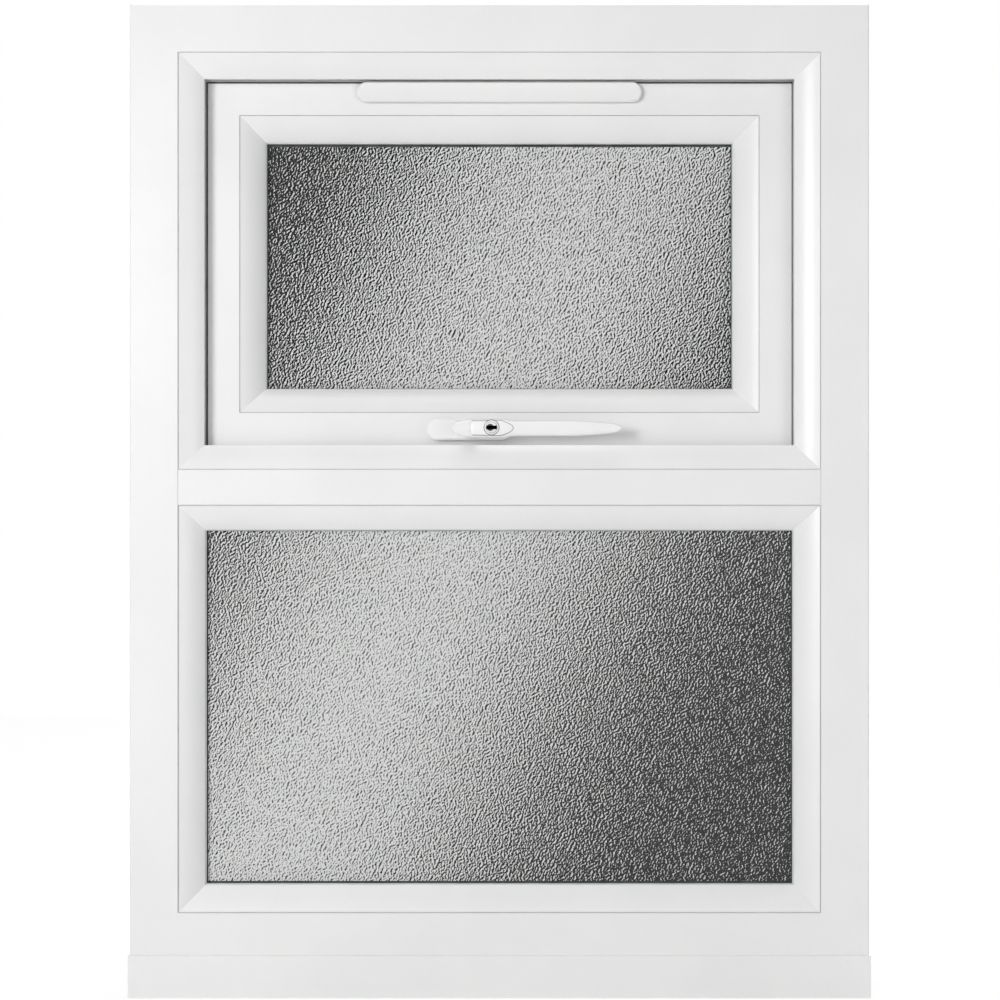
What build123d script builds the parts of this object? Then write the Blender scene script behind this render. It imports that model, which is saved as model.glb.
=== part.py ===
from build123d import *
import os
from math import cos, hypot, radians

os.makedirs("parts", exist_ok=True)

# A white uPVC window: an opening sash hinged at its head over a fixed light.
# Origin: centre of the sill's underside. +Z up, +X right and +Y out of the room.
# Sizes are in millimetres. A section is drawn as (rise towards the glass, depth along Y).

# Outer frame
FRAME_WIDTH = 610.0
FRAME_HEIGHT = 790.0
FRAME_DEPTH = 70.0
FRAME_FACE = 40.0
TRANSOM_FACE = 30.0
OPENER_HEIGHT = 344.0
WALL = 3.0
WEB = 2.0
CORNER_CHAMFER = 0.8

# Sill under the frame
SILL_HEIGHT = 30.0
SILL_DEPTH = 150.0
SILL_LIP_HEIGHT = 5.0
SILL_LIP_THICKNESS = 3.0
SILL_NOSE_HEIGHT = 20.0
SILL_SLOPE_DROP = 6.0
SILL_EDGE = 2.0
SILL_CHAMBERS = 4
END_CAP_THICKNESS = 1.2

# Clip-in beads and stops
BEAD_HEIGHT = 20.0
BEAD_WALL = 1.8
BEAD_NOSE = 2.0
GROOVE_INSET = 5.0
GROOVE_WIDTH = 4.0
GROOVE_DEPTH = 5.0
CLIP_CLEARANCE = 0.2
JOINT_GAP = 0.5
STOP_LIP_DEPTH = 10.0
STOP_DEPTH = 19.0
GASKET_THICKNESS = 2.5
GASKET_HEIGHT = 6.0
GASKET_RECESS = 1.5

# Sealed units
PANE = 4.0
CAVITY = 20.0
GLASS_EDGE_GAP = 5.0
SPACER_HEIGHT = 9.0
SPACER_INSET = 3.0
SPACER_WALL = 1.0
PACKER_LENGTH = 60.0
FIXED_GLASS_SET = 20.0
SASH_GLASS_SET = 22.0

# Sash
SASH_FACE = 34.0
SASH_GAP = 13.5
SASH_SET = 23.0
SASH_DEPTH = 69.0
SASH_UPSTAND = 20.0
FLANGE_OVERLAP = 5.0
FLANGE_GAP = 6.5
FLANGE_TAPER = 6.0
EURO_GROOVE_WIDTH = 18.0
EURO_GROOVE_DEPTH = 4.0
HARDWARE_LINE = 19.0
SEAL_CLEARANCE = 0.4
FLANGE_SEAL_WIDTH = 3.5
STOP_SEAL_WIDTH = 5.0
STOP_SEAL_GAP = 1.2

# Steel bars in the chambers
STEEL_HALF = 13.0
STEEL_WALL = 1.5
STEEL_CLEARANCE = 0.3
STEEL_END_GAP = 15.0

# Fasteners and drainage
FIXING_HOLE_RADIUS = 4.0
FIXING_HOLE_SPACING = 500.0
SCREW_RADIUS = 2.4
SCREW_BITE = 14.0
SCREW_HEAD_RADIUS = 4.4
SCREW_HEAD_HEIGHT = 2.6
DRAIN_CAP_LENGTH = 32.0
DRAIN_CAP_HEIGHT = 12.0
DRAIN_CAP_DEPTH = 4.0
DRAIN_CAP_EDGE = 2.5
DRAIN_CAP_SPACING = 360.0

# Hinges at the head
HINGE_SPACING = 340.0
HINGE_LENGTH = 70.0
HINGE_LEAF = 2.5
HINGE_LEAF_HEIGHT = 22.0
HINGE_BARREL_RADIUS = 3.6
HINGE_PIN_RADIUS = 2.0
HINGE_FLANGE_GAP = 0.9
HINGE_FACE_GAP = 0.3
KNUCKLE_GAP = 0.3
RUNNING_FIT = 0.1

# Side stays
STAY_PIVOT_DROP = 149.5
STAY_PIVOT_SET_BACK = 8.0
STAY_ARM_THICKNESS = 2.5
STAY_ARM_WIDTH = 14.0
STAY_RIVET_RADIUS = 3.0
STAY_PLAY = 0.3
STAY_TRACK_WIDTH = 16.0
STAY_TRACK_DEPTH = 5.0
STAY_TRACK_WALL = 1.2
STAY_BLOCK_LENGTH = 22.0
STAY_BRACKET_LENGTH = 60.0
SASH_OPEN_ANGLE = 45.0

# Lock in the sash's bottom rail
BACKSET = 20.0
LOCK_TRAVEL = 18.0
FACEPLATE_THICKNESS = 1.5
FACEPLATE_LENGTH = 440.0
RAIL_THICKNESS = 2.0
RAIL_WIDTH = 12.0
RAIL_LENGTH = 400.0
CAM_RADIUS = 4.5
CAM_REACH = 8.0
CAM_SPACING = 330.0
KEEP_LENGTH = 34.0
KEEP_HEIGHT = 9.0
KEEP_BACK = 11.0
GEARBOX_LENGTH = 40.0
GEARBOX_THICKNESS = 14.0
GEARBOX_HEIGHT = 28.0
SPINDLE = 7.0
HANDLE_X = -25.4

# Handle
BASE_LENGTH = 72.0
BASE_WIDTH = 18.0
BASE_HEIGHT = 10.0
BASE_PLATE = 5.0
BASE_COVER_WALL = 1.6
HANDLE_SCREW_CENTRES = 43.0
LEVER_PROUD = 33.0
LEVER_TAIL = 13.5
LEVER_REACH = 126.0
LEVER_HALF_WIDTH = 7.6
LEVER_TIP_RADIUS = 4.0
LEVER_THICKNESS = 12.0
LEVER_TIP_THICKNESS = 8.0
LEVER_NECK_RADIUS = 6.4
LEVER_EDGE = 1.8
LEVER_BELLY = 1.0
LEVER_TIP_SET_BACK = 2.0
LEVER_RISE = 0.5
SCOOP_RADIUS = 14.0
SCOOP_DEPTH = 1.6
SCOOP_SET_IN = 8.0
PAD_HALF_WIDTH = 6.1
PAD_RAISE = 1.2
PAD_REACH = 18.0
CYLINDER_PROUD = 0.5
CYLINDER_BED = 2.0
CYLINDER_OFFSET = 19.0
CYLINDER_RADIUS = 6.0
PLUG_RADIUS = 4.6
KEYWAY_LENGTH = 6.4
KEYWAY_WIDTH = 2.2

# Trickle vent on the sash's top rail
VENT_LENGTH = 238.0
VENT_HEIGHT = 16.6
VENT_PROUD = 6.0
VENT_PLATE = 1.8
VENT_WALL = 1.4
VENT_TOP_GAP = 0.7
VENT_SLOT_LENGTH = 205.0
VENT_SLOT_HEIGHT = 7.0
VENT_EDGE = 1.2
FLAP_GAP = 0.2
FLAP_INSET = 2.4
FLAP_PIN_RADIUS = 0.5
FLAP_PIN_LENGTH = 8.0
FLAP_LUG = 2.0
FLAP_LUG_WALL = 0.7
FLAP_LUG_SPACING = 206.0
FLAP_CHEEK_HALF = 0.8
FLAP_AXIS_RISE = 2.9
FLAP_AXIS_DEPTH = 1.1
CANOPY_PROUD = 14.0
CANOPY_HEIGHT = 22.0
CANOPY_TOP_DEPTH = 3.0
CANOPY_LIP = 6.0

# Derived lines of the frame
INSIDE = -FRAME_DEPTH / 2
OUTSIDE = FRAME_DEPTH / 2
FRAME_BASE = SILL_HEIGHT
FRAME_TOP = FRAME_BASE + FRAME_HEIGHT
HALF_WIDTH = FRAME_WIDTH / 2
REBATE_X = HALF_WIDTH - FRAME_FACE
HEAD_FLOOR = FRAME_TOP - FRAME_FACE
TRANSOM_TOP = HEAD_FLOOR - OPENER_HEIGHT
TRANSOM_BASE = TRANSOM_TOP - TRANSOM_FACE
BOTTOM_FLOOR = FRAME_BASE + FRAME_FACE

# Derived lines of the sash
SASH_INSIDE = INSIDE + SASH_SET
SASH_OUTSIDE = SASH_INSIDE + SASH_DEPTH
SASH_X = REBATE_X - SASH_GAP
SASH_BASE = TRANSOM_TOP + SASH_GAP
SASH_TOP = HEAD_FLOOR - SASH_GAP
FLANGE_RISE = SASH_GAP + FLANGE_OVERLAP
FLANGE_INSIDE = OUTSIDE + FLANGE_GAP
UNIT = 2 * PANE + CAVITY
SASH_GLASS_INSIDE = SASH_INSIDE + SASH_GLASS_SET
SASH_GLASS_OUTSIDE = SASH_GLASS_INSIDE + UNIT
FIXED_GLASS_INSIDE = INSIDE + FIXED_GLASS_SET
FIXED_GLASS_OUTSIDE = FIXED_GLASS_INSIDE + UNIT
GROOVE_LINE = GROOVE_INSET + GROOVE_WIDTH / 2
GLAZING_X = SASH_X - SASH_FACE
STEEL_FRONT = SASH_INSIDE + GROOVE_LINE + GROOVE_WIDTH / 2 + WALL + 2 * WEB
SASH_STEEL = (EURO_GROOVE_DEPTH + WEB, SASH_FACE - WALL, STEEL_FRONT, SASH_GLASS_OUTSIDE)
LONG = 3 * FRAME_HEIGHT

# Hinge line at the head, and the pivots of the side stays on a line through it
HINGE_Y = OUTSIDE + HINGE_FACE_GAP + HINGE_BARREL_RADIUS
HINGE_Z = SASH_TOP + FLANGE_RISE + HINGE_FLANGE_GAP + HINGE_BARREL_RADIUS
STAY_ARM_LENGTH = hypot(STAY_PIVOT_DROP, STAY_PIVOT_SET_BACK)
STAY_ALONG = Vector(0, -STAY_PIVOT_SET_BACK, -STAY_PIVOT_DROP).normalized()

# Derived lines of the lock, the handle and the vent
LOCK_Z = SASH_BASE + BACKSET
GROOVE_TOP = SASH_BASE + EURO_GROOVE_DEPTH
LEVER_Y = SASH_INSIDE - LEVER_PROUD
LEVER_Z = LOCK_Z + LEVER_RISE
CYLINDER_X = HANDLE_X + CYLINDER_OFFSET
VENT_Z = HEAD_FLOOR - BEAD_HEIGHT - VENT_TOP_GAP - VENT_HEIGHT / 2

FRAME_BOX = (-HALF_WIDTH, HALF_WIDTH, FRAME_BASE, FRAME_TOP)
OPENER_BOX = (-REBATE_X, REBATE_X, TRANSOM_TOP, HEAD_FLOOR)
FIXED_BOX = (-REBATE_X, REBATE_X, BOTTOM_FLOOR, TRANSOM_BASE)
SASH_BOX = (-SASH_X, SASH_X, SASH_BASE, SASH_TOP)
SASH_GLASS_BOX = (-GLAZING_X, GLAZING_X, SASH_BASE + SASH_FACE, SASH_TOP - SASH_FACE)
SIDES = ("bottom", "left", "top", "right")


def block(x0, x1, y0, y1, z0, z1):
    """A plain block between two corners."""
    return Pos((x0 + x1) / 2, (y0 + y1) / 2, (z0 + z1) / 2) * Box(x1 - x0, y1 - y0, z1 - z0)


def outline(*points):
    """A flat face through the given points."""
    return make_face(Polyline(*points, close=True))


def rectangle(u0, u1, v0, v1):
    """A rectangle of a section, from rise u0 to u1 and depth v0 to v1."""
    return outline((u0, v0), (u1, v0), (u1, v1), (u0, v1))


def shrink(box, amount):
    """A rectangle set in by an amount on every side."""
    x0, x1, z0, z1 = box
    return (x0 + amount, x1 - amount, z0 + amount, z1 - amount)


def side_line(side, box):
    """The corner, inward direction, run direction and length of one side of a box."""
    x0, x1, z0, z1 = box
    return {
        "bottom": (Vector(x1, 0, z0), Vector(0, 0, 1), Vector(-1, 0, 0), x1 - x0),
        "left": (Vector(x0, 0, z0), Vector(1, 0, 0), Vector(0, 0, 1), z1 - z0),
        "top": (Vector(x0, 0, z1), Vector(0, 0, -1), Vector(1, 0, 0), x1 - x0),
        "right": (Vector(x1, 0, z1), Vector(-1, 0, 0), Vector(0, 0, -1), z1 - z0),
    }[side]


def bar(section, side, box, end_gap=0.0):
    """A square-cut length of a section along one side, short of each end by end_gap."""
    corner, inward, run, length = side_line(side, box)
    plane = Plane(origin=corner + run * end_gap, x_dir=inward, z_dir=run)
    return extrude(plane * section, length - 2 * end_gap)


def mitred(section, side, box):
    """A length of a section along one side, cut at 45 degrees at both corners."""
    corner, inward, run, length = side_line(side, box)
    low = section.bounding_box().min.X - 1
    high = section.bounding_box().max.X + 1
    long_bar = bar(section, side, box, end_gap=min(low, 0))
    wedge_plane = Plane(origin=corner, x_dir=inward, z_dir=inward.cross(run))
    wedge = outline((low, low), (high, high), (high, length - high), (low, length - low))
    return long_bar & extrude(wedge_plane * wedge, LONG, both=True)


def ring(section, box):
    """Four mitred lengths of one section around a rectangle, by side name."""
    return {side: mitred(section, side, box) for side in SIDES}


def group(parts):
    """Separate solids that share one node."""
    return Compound(children=[solid for part in parts for solid in part.solids()])


def save(name, shape):
    """Write one node."""
    export_step(shape, f"parts/{name}.step")


def rod(radius, start, end):
    """A round rod between two points."""
    direction = Vector(*end) - Vector(*start)
    return extrude(Plane(origin=start, z_dir=direction) * Circle(radius), direction.length)


def clip_groove(base_rise, depth_line):
    """The slot in a rebate floor that a bead or stop clips into."""
    half = GROOVE_WIDTH / 2
    return rectangle(base_rise - GROOVE_DEPTH, base_rise + 1, depth_line - half, depth_line + half)


def steel_tube(u0, u1, v0, v1):
    """The section of a steel tube that slides into a chamber."""
    gap = STEEL_CLEARANCE
    wall = gap + STEEL_WALL
    outer = rectangle(u0 + gap, u1 - gap, v0 + gap, v1 - gap)
    return outer - rectangle(u0 + wall, u1 - wall, v0 + wall, v1 - wall)


def frame_section(face, grooves_low=False):
    """Three chambers and a clip groove by each face; the transom has grooves on both edges."""
    section = rectangle(0, face, INSIDE, OUTSIDE)
    section = chamfer(section.vertices(), CORNER_CHAMFER)
    groove_lines = (INSIDE + GROOVE_LINE, OUTSIDE - GROOVE_LINE)
    low = GROOVE_DEPTH + WALL if grooves_low else WALL
    high = face - GROOVE_DEPTH - WALL
    for line in groove_lines:
        section -= clip_groove(face, line)
        if grooves_low:
            section -= rectangle(-1, GROOVE_DEPTH, line - GROOVE_WIDTH / 2, line + GROOVE_WIDTH / 2)
    section -= rectangle(WALL, face - WALL, -STEEL_HALF, STEEL_HALF)
    section -= rectangle(low, high, INSIDE + WALL, -STEEL_HALF - WEB)
    section -= rectangle(low, high, STEEL_HALF + WEB, OUTSIDE - WALL)
    return section


def bead_section(depth, lip_depth, groove_line, face_rise=BEAD_HEIGHT):
    """A clip-in bead: curved face from the room's side, nose, chamber and foot."""
    start = (JOINT_GAP, JOINT_GAP)
    nose = (face_rise, lip_depth)
    bulge = ((start[0] + nose[0]) / 2 + BEAD_NOSE / 2, (start[1] + nose[1]) / 2 - BEAD_NOSE / 2)
    edge = ThreePointArc(start, bulge, nose)
    rest = Polyline(nose, (face_rise, lip_depth + BEAD_NOSE), (face_rise - BEAD_NOSE, depth),
                    (0, depth), (0, JOINT_GAP), start)
    section = make_face(edge + rest)
    chamber_back = depth - BEAD_WALL
    chamber = outline((BEAD_WALL, groove_line), (BEAD_WALL, chamber_back),
                      (face_rise - BEAD_NOSE - BEAD_WALL, chamber_back),
                      (face_rise - BEAD_NOSE - BEAD_WALL, lip_depth))
    half = GROOVE_WIDTH / 2 - CLIP_CLEARANCE
    foot = rectangle(CLIP_CLEARANCE - GROOVE_DEPTH, BEAD_WALL, groove_line - half,
                     groove_line + half)
    return section - chamber + foot


def from_inside(section, face_y):
    """Place a section so that its depth runs outwards from a room-side face."""
    return Pos(0, face_y) * section


def from_outside(section, face_y):
    """Place a section so that its depth runs inwards from an outer face."""
    return Pos(0, face_y) * mirror(section, about=Plane.XZ)


def gasket_section(v0, v1):
    """A strip of gasket beside the glass, set back under the bead's nose."""
    top = BEAD_HEIGHT - BEAD_NOSE - GASKET_RECESS
    return rectangle(top - GASKET_HEIGHT, top, v0, v1)


def make_frame():
    """The outer frame, transom and their steel bars."""
    members = ring(frame_section(FRAME_FACE), FRAME_BOX)
    transom_box = (-HALF_WIDTH, HALF_WIDTH, TRANSOM_BASE, TRANSOM_TOP)
    transom = bar(frame_section(TRANSOM_FACE, grooves_low=True), "bottom", transom_box)
    transom &= block(-REBATE_X, REBATE_X, 2 * INSIDE, 2 * OUTSIDE, TRANSOM_BASE, TRANSOM_TOP)
    for x in (-REBATE_X, REBATE_X):
        outwards = 1 if x > 0 else -1
        for z in (-1, 1):
            hole_z = FRAME_BASE + FRAME_HEIGHT / 2 + z * FIXING_HOLE_SPACING / 2
            hole = rod(FIXING_HOLE_RADIUS, (x - outwards, 0, hole_z),
                       (x + outwards * (FRAME_FACE + 1), 0, hole_z))
            side = "right" if outwards > 0 else "left"
            members[side] -= hole
    save("frame_head", members["top"])
    save("frame_left_jamb", members["left"])
    save("frame_right_jamb", members["right"])
    save("frame_bottom_rail", members["bottom"])
    save("transom", transom)
    tube = steel_tube(WALL, FRAME_FACE - WALL, -STEEL_HALF, STEEL_HALF)
    steels = [bar(tube, side, FRAME_BOX, FRAME_FACE + STEEL_END_GAP) for side in ("bottom", "top")]
    transom_tube = steel_tube(WALL, TRANSOM_FACE - WALL, -STEEL_HALF, STEEL_HALF)
    steels.append(bar(transom_tube, "bottom", transom_box, FRAME_FACE + STEEL_END_GAP))
    save("frame_steel_bars", group(steels))


def make_sill():
    """The sill extrusion, with a lip behind the frame, and its two end caps."""
    back = INSIDE - SILL_LIP_THICKNESS
    nose = back + SILL_DEPTH
    nose_top = SILL_HEIGHT - SILL_SLOPE_DROP
    lip_top = SILL_HEIGHT + SILL_LIP_HEIGHT
    solid_section = outline((back, 0), (nose - SILL_NOSE_HEIGHT / 2, 0), (nose, SILL_NOSE_HEIGHT / 4),
                            (nose, nose_top - SILL_EDGE), (nose - SILL_EDGE, nose_top),
                            (OUTSIDE + SILL_EDGE, SILL_HEIGHT), (INSIDE, SILL_HEIGHT),
                            (INSIDE, lip_top), (back, lip_top))
    span = (nose - SILL_NOSE_HEIGHT / 2 - back - WALL) / SILL_CHAMBERS
    section = solid_section
    for i in range(SILL_CHAMBERS):
        left = back + WALL + i * span
        section -= rectangle(left, left + span - WEB, WALL, nose_top - WALL)
    run = Plane(origin=(-HALF_WIDTH, 0, 0), x_dir=(0, 1, 0), z_dir=(1, 0, 0))
    save("sill", extrude(run * section, FRAME_WIDTH))
    left_cap = extrude(run * solid_section, -END_CAP_THICKNESS)
    save("sill_end_caps", group([left_cap, mirror(left_cap, about=Plane.YZ)]))


def sealed_unit(prefix, box, inside):
    """Two panes, the spacer bar between them and the packers around them."""
    glass_box = shrink(box, GLASS_EDGE_GAP)
    x0, x1, z0, z1 = glass_box
    outer_face = inside + UNIT
    save(f"{prefix}_inner_pane", block(x0, x1, inside, inside + PANE, z0, z1))
    save(f"{prefix}_outer_pane", block(x0, x1, outer_face - PANE, outer_face, z0, z1))
    spacer = block(x0 + SPACER_INSET, x1 - SPACER_INSET, inside + PANE, outer_face - PANE,
                   z0 + SPACER_INSET, z1 - SPACER_INSET)
    opening = SPACER_INSET + SPACER_HEIGHT
    spacer -= block(x0 + opening, x1 - opening, inside, outer_face, z0 + opening, z1 - opening)
    inner = shrink(glass_box, SPACER_INSET + SPACER_WALL)
    core = shrink(glass_box, opening - SPACER_WALL)
    void_y = (inside + PANE + SPACER_WALL, outer_face - PANE - SPACER_WALL)
    void = block(inner[0], inner[1], *void_y, inner[2], inner[3])
    void -= block(core[0], core[1], inside, outer_face, core[2], core[3])
    save(f"{prefix}_spacer_bar", spacer - void)
    packers = []
    quarter = (x1 - x0) / 4
    for x in (-quarter, quarter):
        for low, high in ((box[2], z0), (z1, box[3])):
            packers.append(block(x - PACKER_LENGTH / 2, x + PACKER_LENGTH / 2, inside, outer_face,
                                 low, high))
    middle = (z0 + z1) / 2
    for low, high in ((box[0], x0), (x1, box[1])):
        packers.append(block(low, high, inside, outer_face, middle - PACKER_LENGTH / 2,
                             middle + PACKER_LENGTH / 2))
    save(f"{prefix}_glazing_packers", group(packers))


def make_fixed_light():
    """The fixed light: sealed unit, beads inside, clip-in stops outside, gaskets."""
    sealed_unit("fixed", FIXED_BOX, FIXED_GLASS_INSIDE)
    depth = FIXED_GLASS_SET - GASKET_THICKNESS
    inner = bead_section(depth, depth - 2 * BEAD_NOSE, GROOVE_LINE)
    for side, bead in ring(from_inside(inner, INSIDE), FIXED_BOX).items():
        save(f"fixed_bead_{side}", bead)
    outer_depth = OUTSIDE - FIXED_GLASS_OUTSIDE - GASKET_THICKNESS
    outer = bead_section(outer_depth, outer_depth - 2 * BEAD_NOSE, GROOVE_LINE)
    save("fixed_outer_stops", group(ring(from_outside(outer, OUTSIDE), FIXED_BOX).values()))
    strips = []
    for v0 in (FIXED_GLASS_INSIDE - GASKET_THICKNESS, FIXED_GLASS_OUTSIDE):
        strips += ring(gasket_section(v0, v0 + GASKET_THICKNESS), FIXED_BOX).values()
    save("fixed_gaskets", group(strips))


def make_opener_stops():
    """The clip-in stops around the opening light and the seal behind them."""
    section = bead_section(STOP_DEPTH, STOP_LIP_DEPTH, GROOVE_LINE)
    save("opener_stops", group(ring(from_inside(section, INSIDE), OPENER_BOX).values()))
    seal_front = INSIDE + STOP_DEPTH
    seal_back = SASH_INSIDE - STOP_SEAL_GAP
    low = BEAD_HEIGHT - BEAD_NOSE - STOP_SEAL_WIDTH - GASKET_RECESS / 2
    seal = rectangle(low, low + STOP_SEAL_WIDTH, seal_front, seal_back)
    save("opener_stop_seal", group(ring(seal, OPENER_BOX).values()))


def sash_section():
    """The sash's section: body, glazing upstand and the flange that laps over the frame."""
    upstand_face = SASH_GLASS_OUTSIDE + GASKET_THICKNESS
    top = SASH_FACE + SASH_UPSTAND
    shell = outline((0, SASH_INSIDE), (SASH_FACE, SASH_INSIDE), (SASH_FACE, upstand_face),
                    (top, upstand_face), (top, SASH_OUTSIDE - FLANGE_TAPER),
                    (top - FLANGE_TAPER / 2, SASH_OUTSIDE),
                    (FLANGE_TAPER / 2 - FLANGE_RISE, SASH_OUTSIDE),
                    (-FLANGE_RISE, SASH_OUTSIDE - FLANGE_TAPER), (-FLANGE_RISE, FLANGE_INSIDE),
                    (0, FLANGE_INSIDE))
    shell -= clip_groove(SASH_FACE, SASH_INSIDE + GROOVE_LINE)
    half_groove = EURO_GROOVE_WIDTH / 2
    shell -= rectangle(-1, EURO_GROOVE_DEPTH, HARDWARE_LINE - half_groove,
                       HARDWARE_LINE + half_groove)
    shell -= rectangle(WALL, SASH_FACE - GROOVE_DEPTH - WALL, SASH_INSIDE + WALL,
                       STEEL_FRONT - WEB)
    shell -= rectangle(*SASH_STEEL)
    shell -= rectangle(WALL + FLANGE_TAPER - FLANGE_RISE, top - FLANGE_TAPER,
                       FLANGE_INSIDE + WALL, SASH_OUTSIDE - WALL)
    return shell


def capsule(length, height, y0, y1, centre_x, centre_z):
    """A plate with round ends, facing the room."""
    plane = Plane(origin=(centre_x, y1, centre_z), x_dir=(1, 0, 0), z_dir=(0, -1, 0))
    return extrude(plane * SlotOverall(length, height), y1 - y0)


def screw_places():
    """The x places of the two handle screws."""
    return [HANDLE_X + side * HANDLE_SCREW_CENTRES / 2 for side in (-1, 1)]


def make_sash():
    """The sash frame with its beads, sealed unit, gaskets and seal."""
    members = ring(sash_section(), SASH_BOX)
    members["top"] -= block(-VENT_SLOT_LENGTH / 2, VENT_SLOT_LENGTH / 2, SASH_INSIDE - 1,
                            SASH_OUTSIDE + 1, VENT_Z - VENT_SLOT_HEIGHT / 2,
                            VENT_Z + VENT_SLOT_HEIGHT / 2)
    pocket = GEARBOX_THICKNESS / 2 + CLIP_CLEARANCE
    reach = GEARBOX_LENGTH / 2 + CLIP_CLEARANCE
    members["bottom"] -= block(HANDLE_X - reach, HANDLE_X + reach, HARDWARE_LINE - pocket,
                               HARDWARE_LINE + pocket, GROOVE_TOP - 1,
                               GROOVE_TOP + GEARBOX_HEIGHT + CLIP_CLEARANCE)
    members["bottom"] -= rod(LEVER_NECK_RADIUS, (HANDLE_X, SASH_INSIDE - 1, LOCK_Z),
                             (HANDLE_X, HARDWARE_LINE, LOCK_Z))
    for x in screw_places():
        members["bottom"] -= rod(SCREW_RADIUS, (x, SASH_INSIDE - 1, LOCK_Z),
                                 (x, SASH_INSIDE + SCREW_BITE, LOCK_Z))
    for side, name in (("top", "top_rail"), ("bottom", "bottom_rail"), ("left", "left_stile"),
                       ("right", "right_stile")):
        save(f"sash_{name}", members[side])
    tube = steel_tube(*SASH_STEEL)
    save("sash_steel_bars", group(bar(tube, side, SASH_BOX, SASH_FACE + STEEL_END_GAP)
                                  for side in ("left", "right")))
    sealed_unit("sash", SASH_GLASS_BOX, SASH_GLASS_INSIDE)
    depth = SASH_GLASS_SET - GASKET_THICKNESS
    section = bead_section(depth, depth - 2 * BEAD_NOSE, GROOVE_LINE)
    for side, bead in ring(from_inside(section, SASH_INSIDE), SASH_GLASS_BOX).items():
        save(f"sash_bead_{side}", bead)
    strips = []
    for v0 in (SASH_GLASS_INSIDE - GASKET_THICKNESS, SASH_GLASS_OUTSIDE):
        strips += ring(gasket_section(v0, v0 + GASKET_THICKNESS), SASH_GLASS_BOX).values()
    save("sash_gaskets", group(strips))
    seal = rectangle(1 - FLANGE_RISE, 1 - FLANGE_RISE + FLANGE_SEAL_WIDTH,
                     OUTSIDE + SEAL_CLEARANCE, FLANGE_INSIDE)
    seals = ring(seal, SASH_BOX)
    for x in hinge_places():
        seals["top"] -= block(x - HINGE_LENGTH / 2 - 1, x + HINGE_LENGTH / 2 + 1, INSIDE,
                              SASH_OUTSIDE, SASH_TOP, FRAME_TOP)
    save("sash_flange_seal", group(seals.values()))


def hinge_places():
    """The x places of the two hinges."""
    return (-HINGE_SPACING / 2, HINGE_SPACING / 2)


def hinge_leaf(x, knuckles, plate_y, plate_z, bore):
    """One leaf: a plate with barrel knuckles around the hinge line."""
    y0, y1 = plate_y
    z0, z1 = plate_z
    leaf = block(x - HINGE_LENGTH / 2, x + HINGE_LENGTH / 2, y0, y1, z0, z1)
    for start, end in knuckles:
        barrel = rod(HINGE_BARREL_RADIUS, (x + start, HINGE_Y, HINGE_Z), (x + end, HINGE_Y, HINGE_Z))
        tongue = block(x + start, x + end, y0, y1, min(z0, HINGE_Z), max(z1, HINGE_Z))
        leaf = leaf + barrel + tongue
    return leaf - rod(bore, (x - HINGE_LENGTH, HINGE_Y, HINGE_Z), (x + HINGE_LENGTH, HINGE_Y, HINGE_Z))


def make_hinges():
    """The two butt hinges between the head and the sash's top flange."""
    half = HINGE_LENGTH / 2
    third = HINGE_LENGTH / 6
    clear = HINGE_BARREL_RADIUS + KNUCKLE_GAP
    frame_leaves, sash_leaves, pins = [], [], []
    for x in hinge_places():
        frame_leaves.append(hinge_leaf(x, ((-half, -third), (third, half)),
                                       (OUTSIDE, OUTSIDE + HINGE_LEAF),
                                       (HINGE_Z + clear, HINGE_Z + HINGE_LEAF_HEIGHT),
                                       HINGE_PIN_RADIUS))
        middle = third - KNUCKLE_GAP
        sash_leaves.append(hinge_leaf(x, ((-middle, middle),),
                                      (FLANGE_INSIDE - HINGE_LEAF, FLANGE_INSIDE),
                                      (SASH_TOP + 1, HINGE_Z - clear),
                                      HINGE_PIN_RADIUS + RUNNING_FIT))
        pins.append(rod(HINGE_PIN_RADIUS, (x - half, HINGE_Y, HINGE_Z), (x + half, HINGE_Y, HINGE_Z)))
    save("hinge_frame_leaves", group(frame_leaves))
    save("hinge_sash_leaves", group(sash_leaves))
    save("hinge_pins", group(pins))


def stay_plane(x, distance):
    """A plane facing +X whose X direction runs down the stay's line from the hinge line."""
    origin = Vector(x, HINGE_Y, HINGE_Z) + STAY_ALONG * distance
    return Plane(origin=origin, x_dir=STAY_ALONG, z_dir=(1, 0, 0))


def stay_strip(x0, x1, start, end, width, round_ends=True):
    """A flat strip along the stay's line between two distances from the hinge line."""
    length = end - start
    shape = SlotOverall(length + width, width) if round_ends else Rectangle(length, width)
    return extrude(stay_plane(x0, (start + end) / 2) * shape, x1 - x0)


def stay_rod(radius, x0, x1, distance):
    """A rod across the stay at a distance from the hinge line."""
    return extrude(stay_plane(x0, distance) * Circle(radius), x1 - x0)


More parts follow.
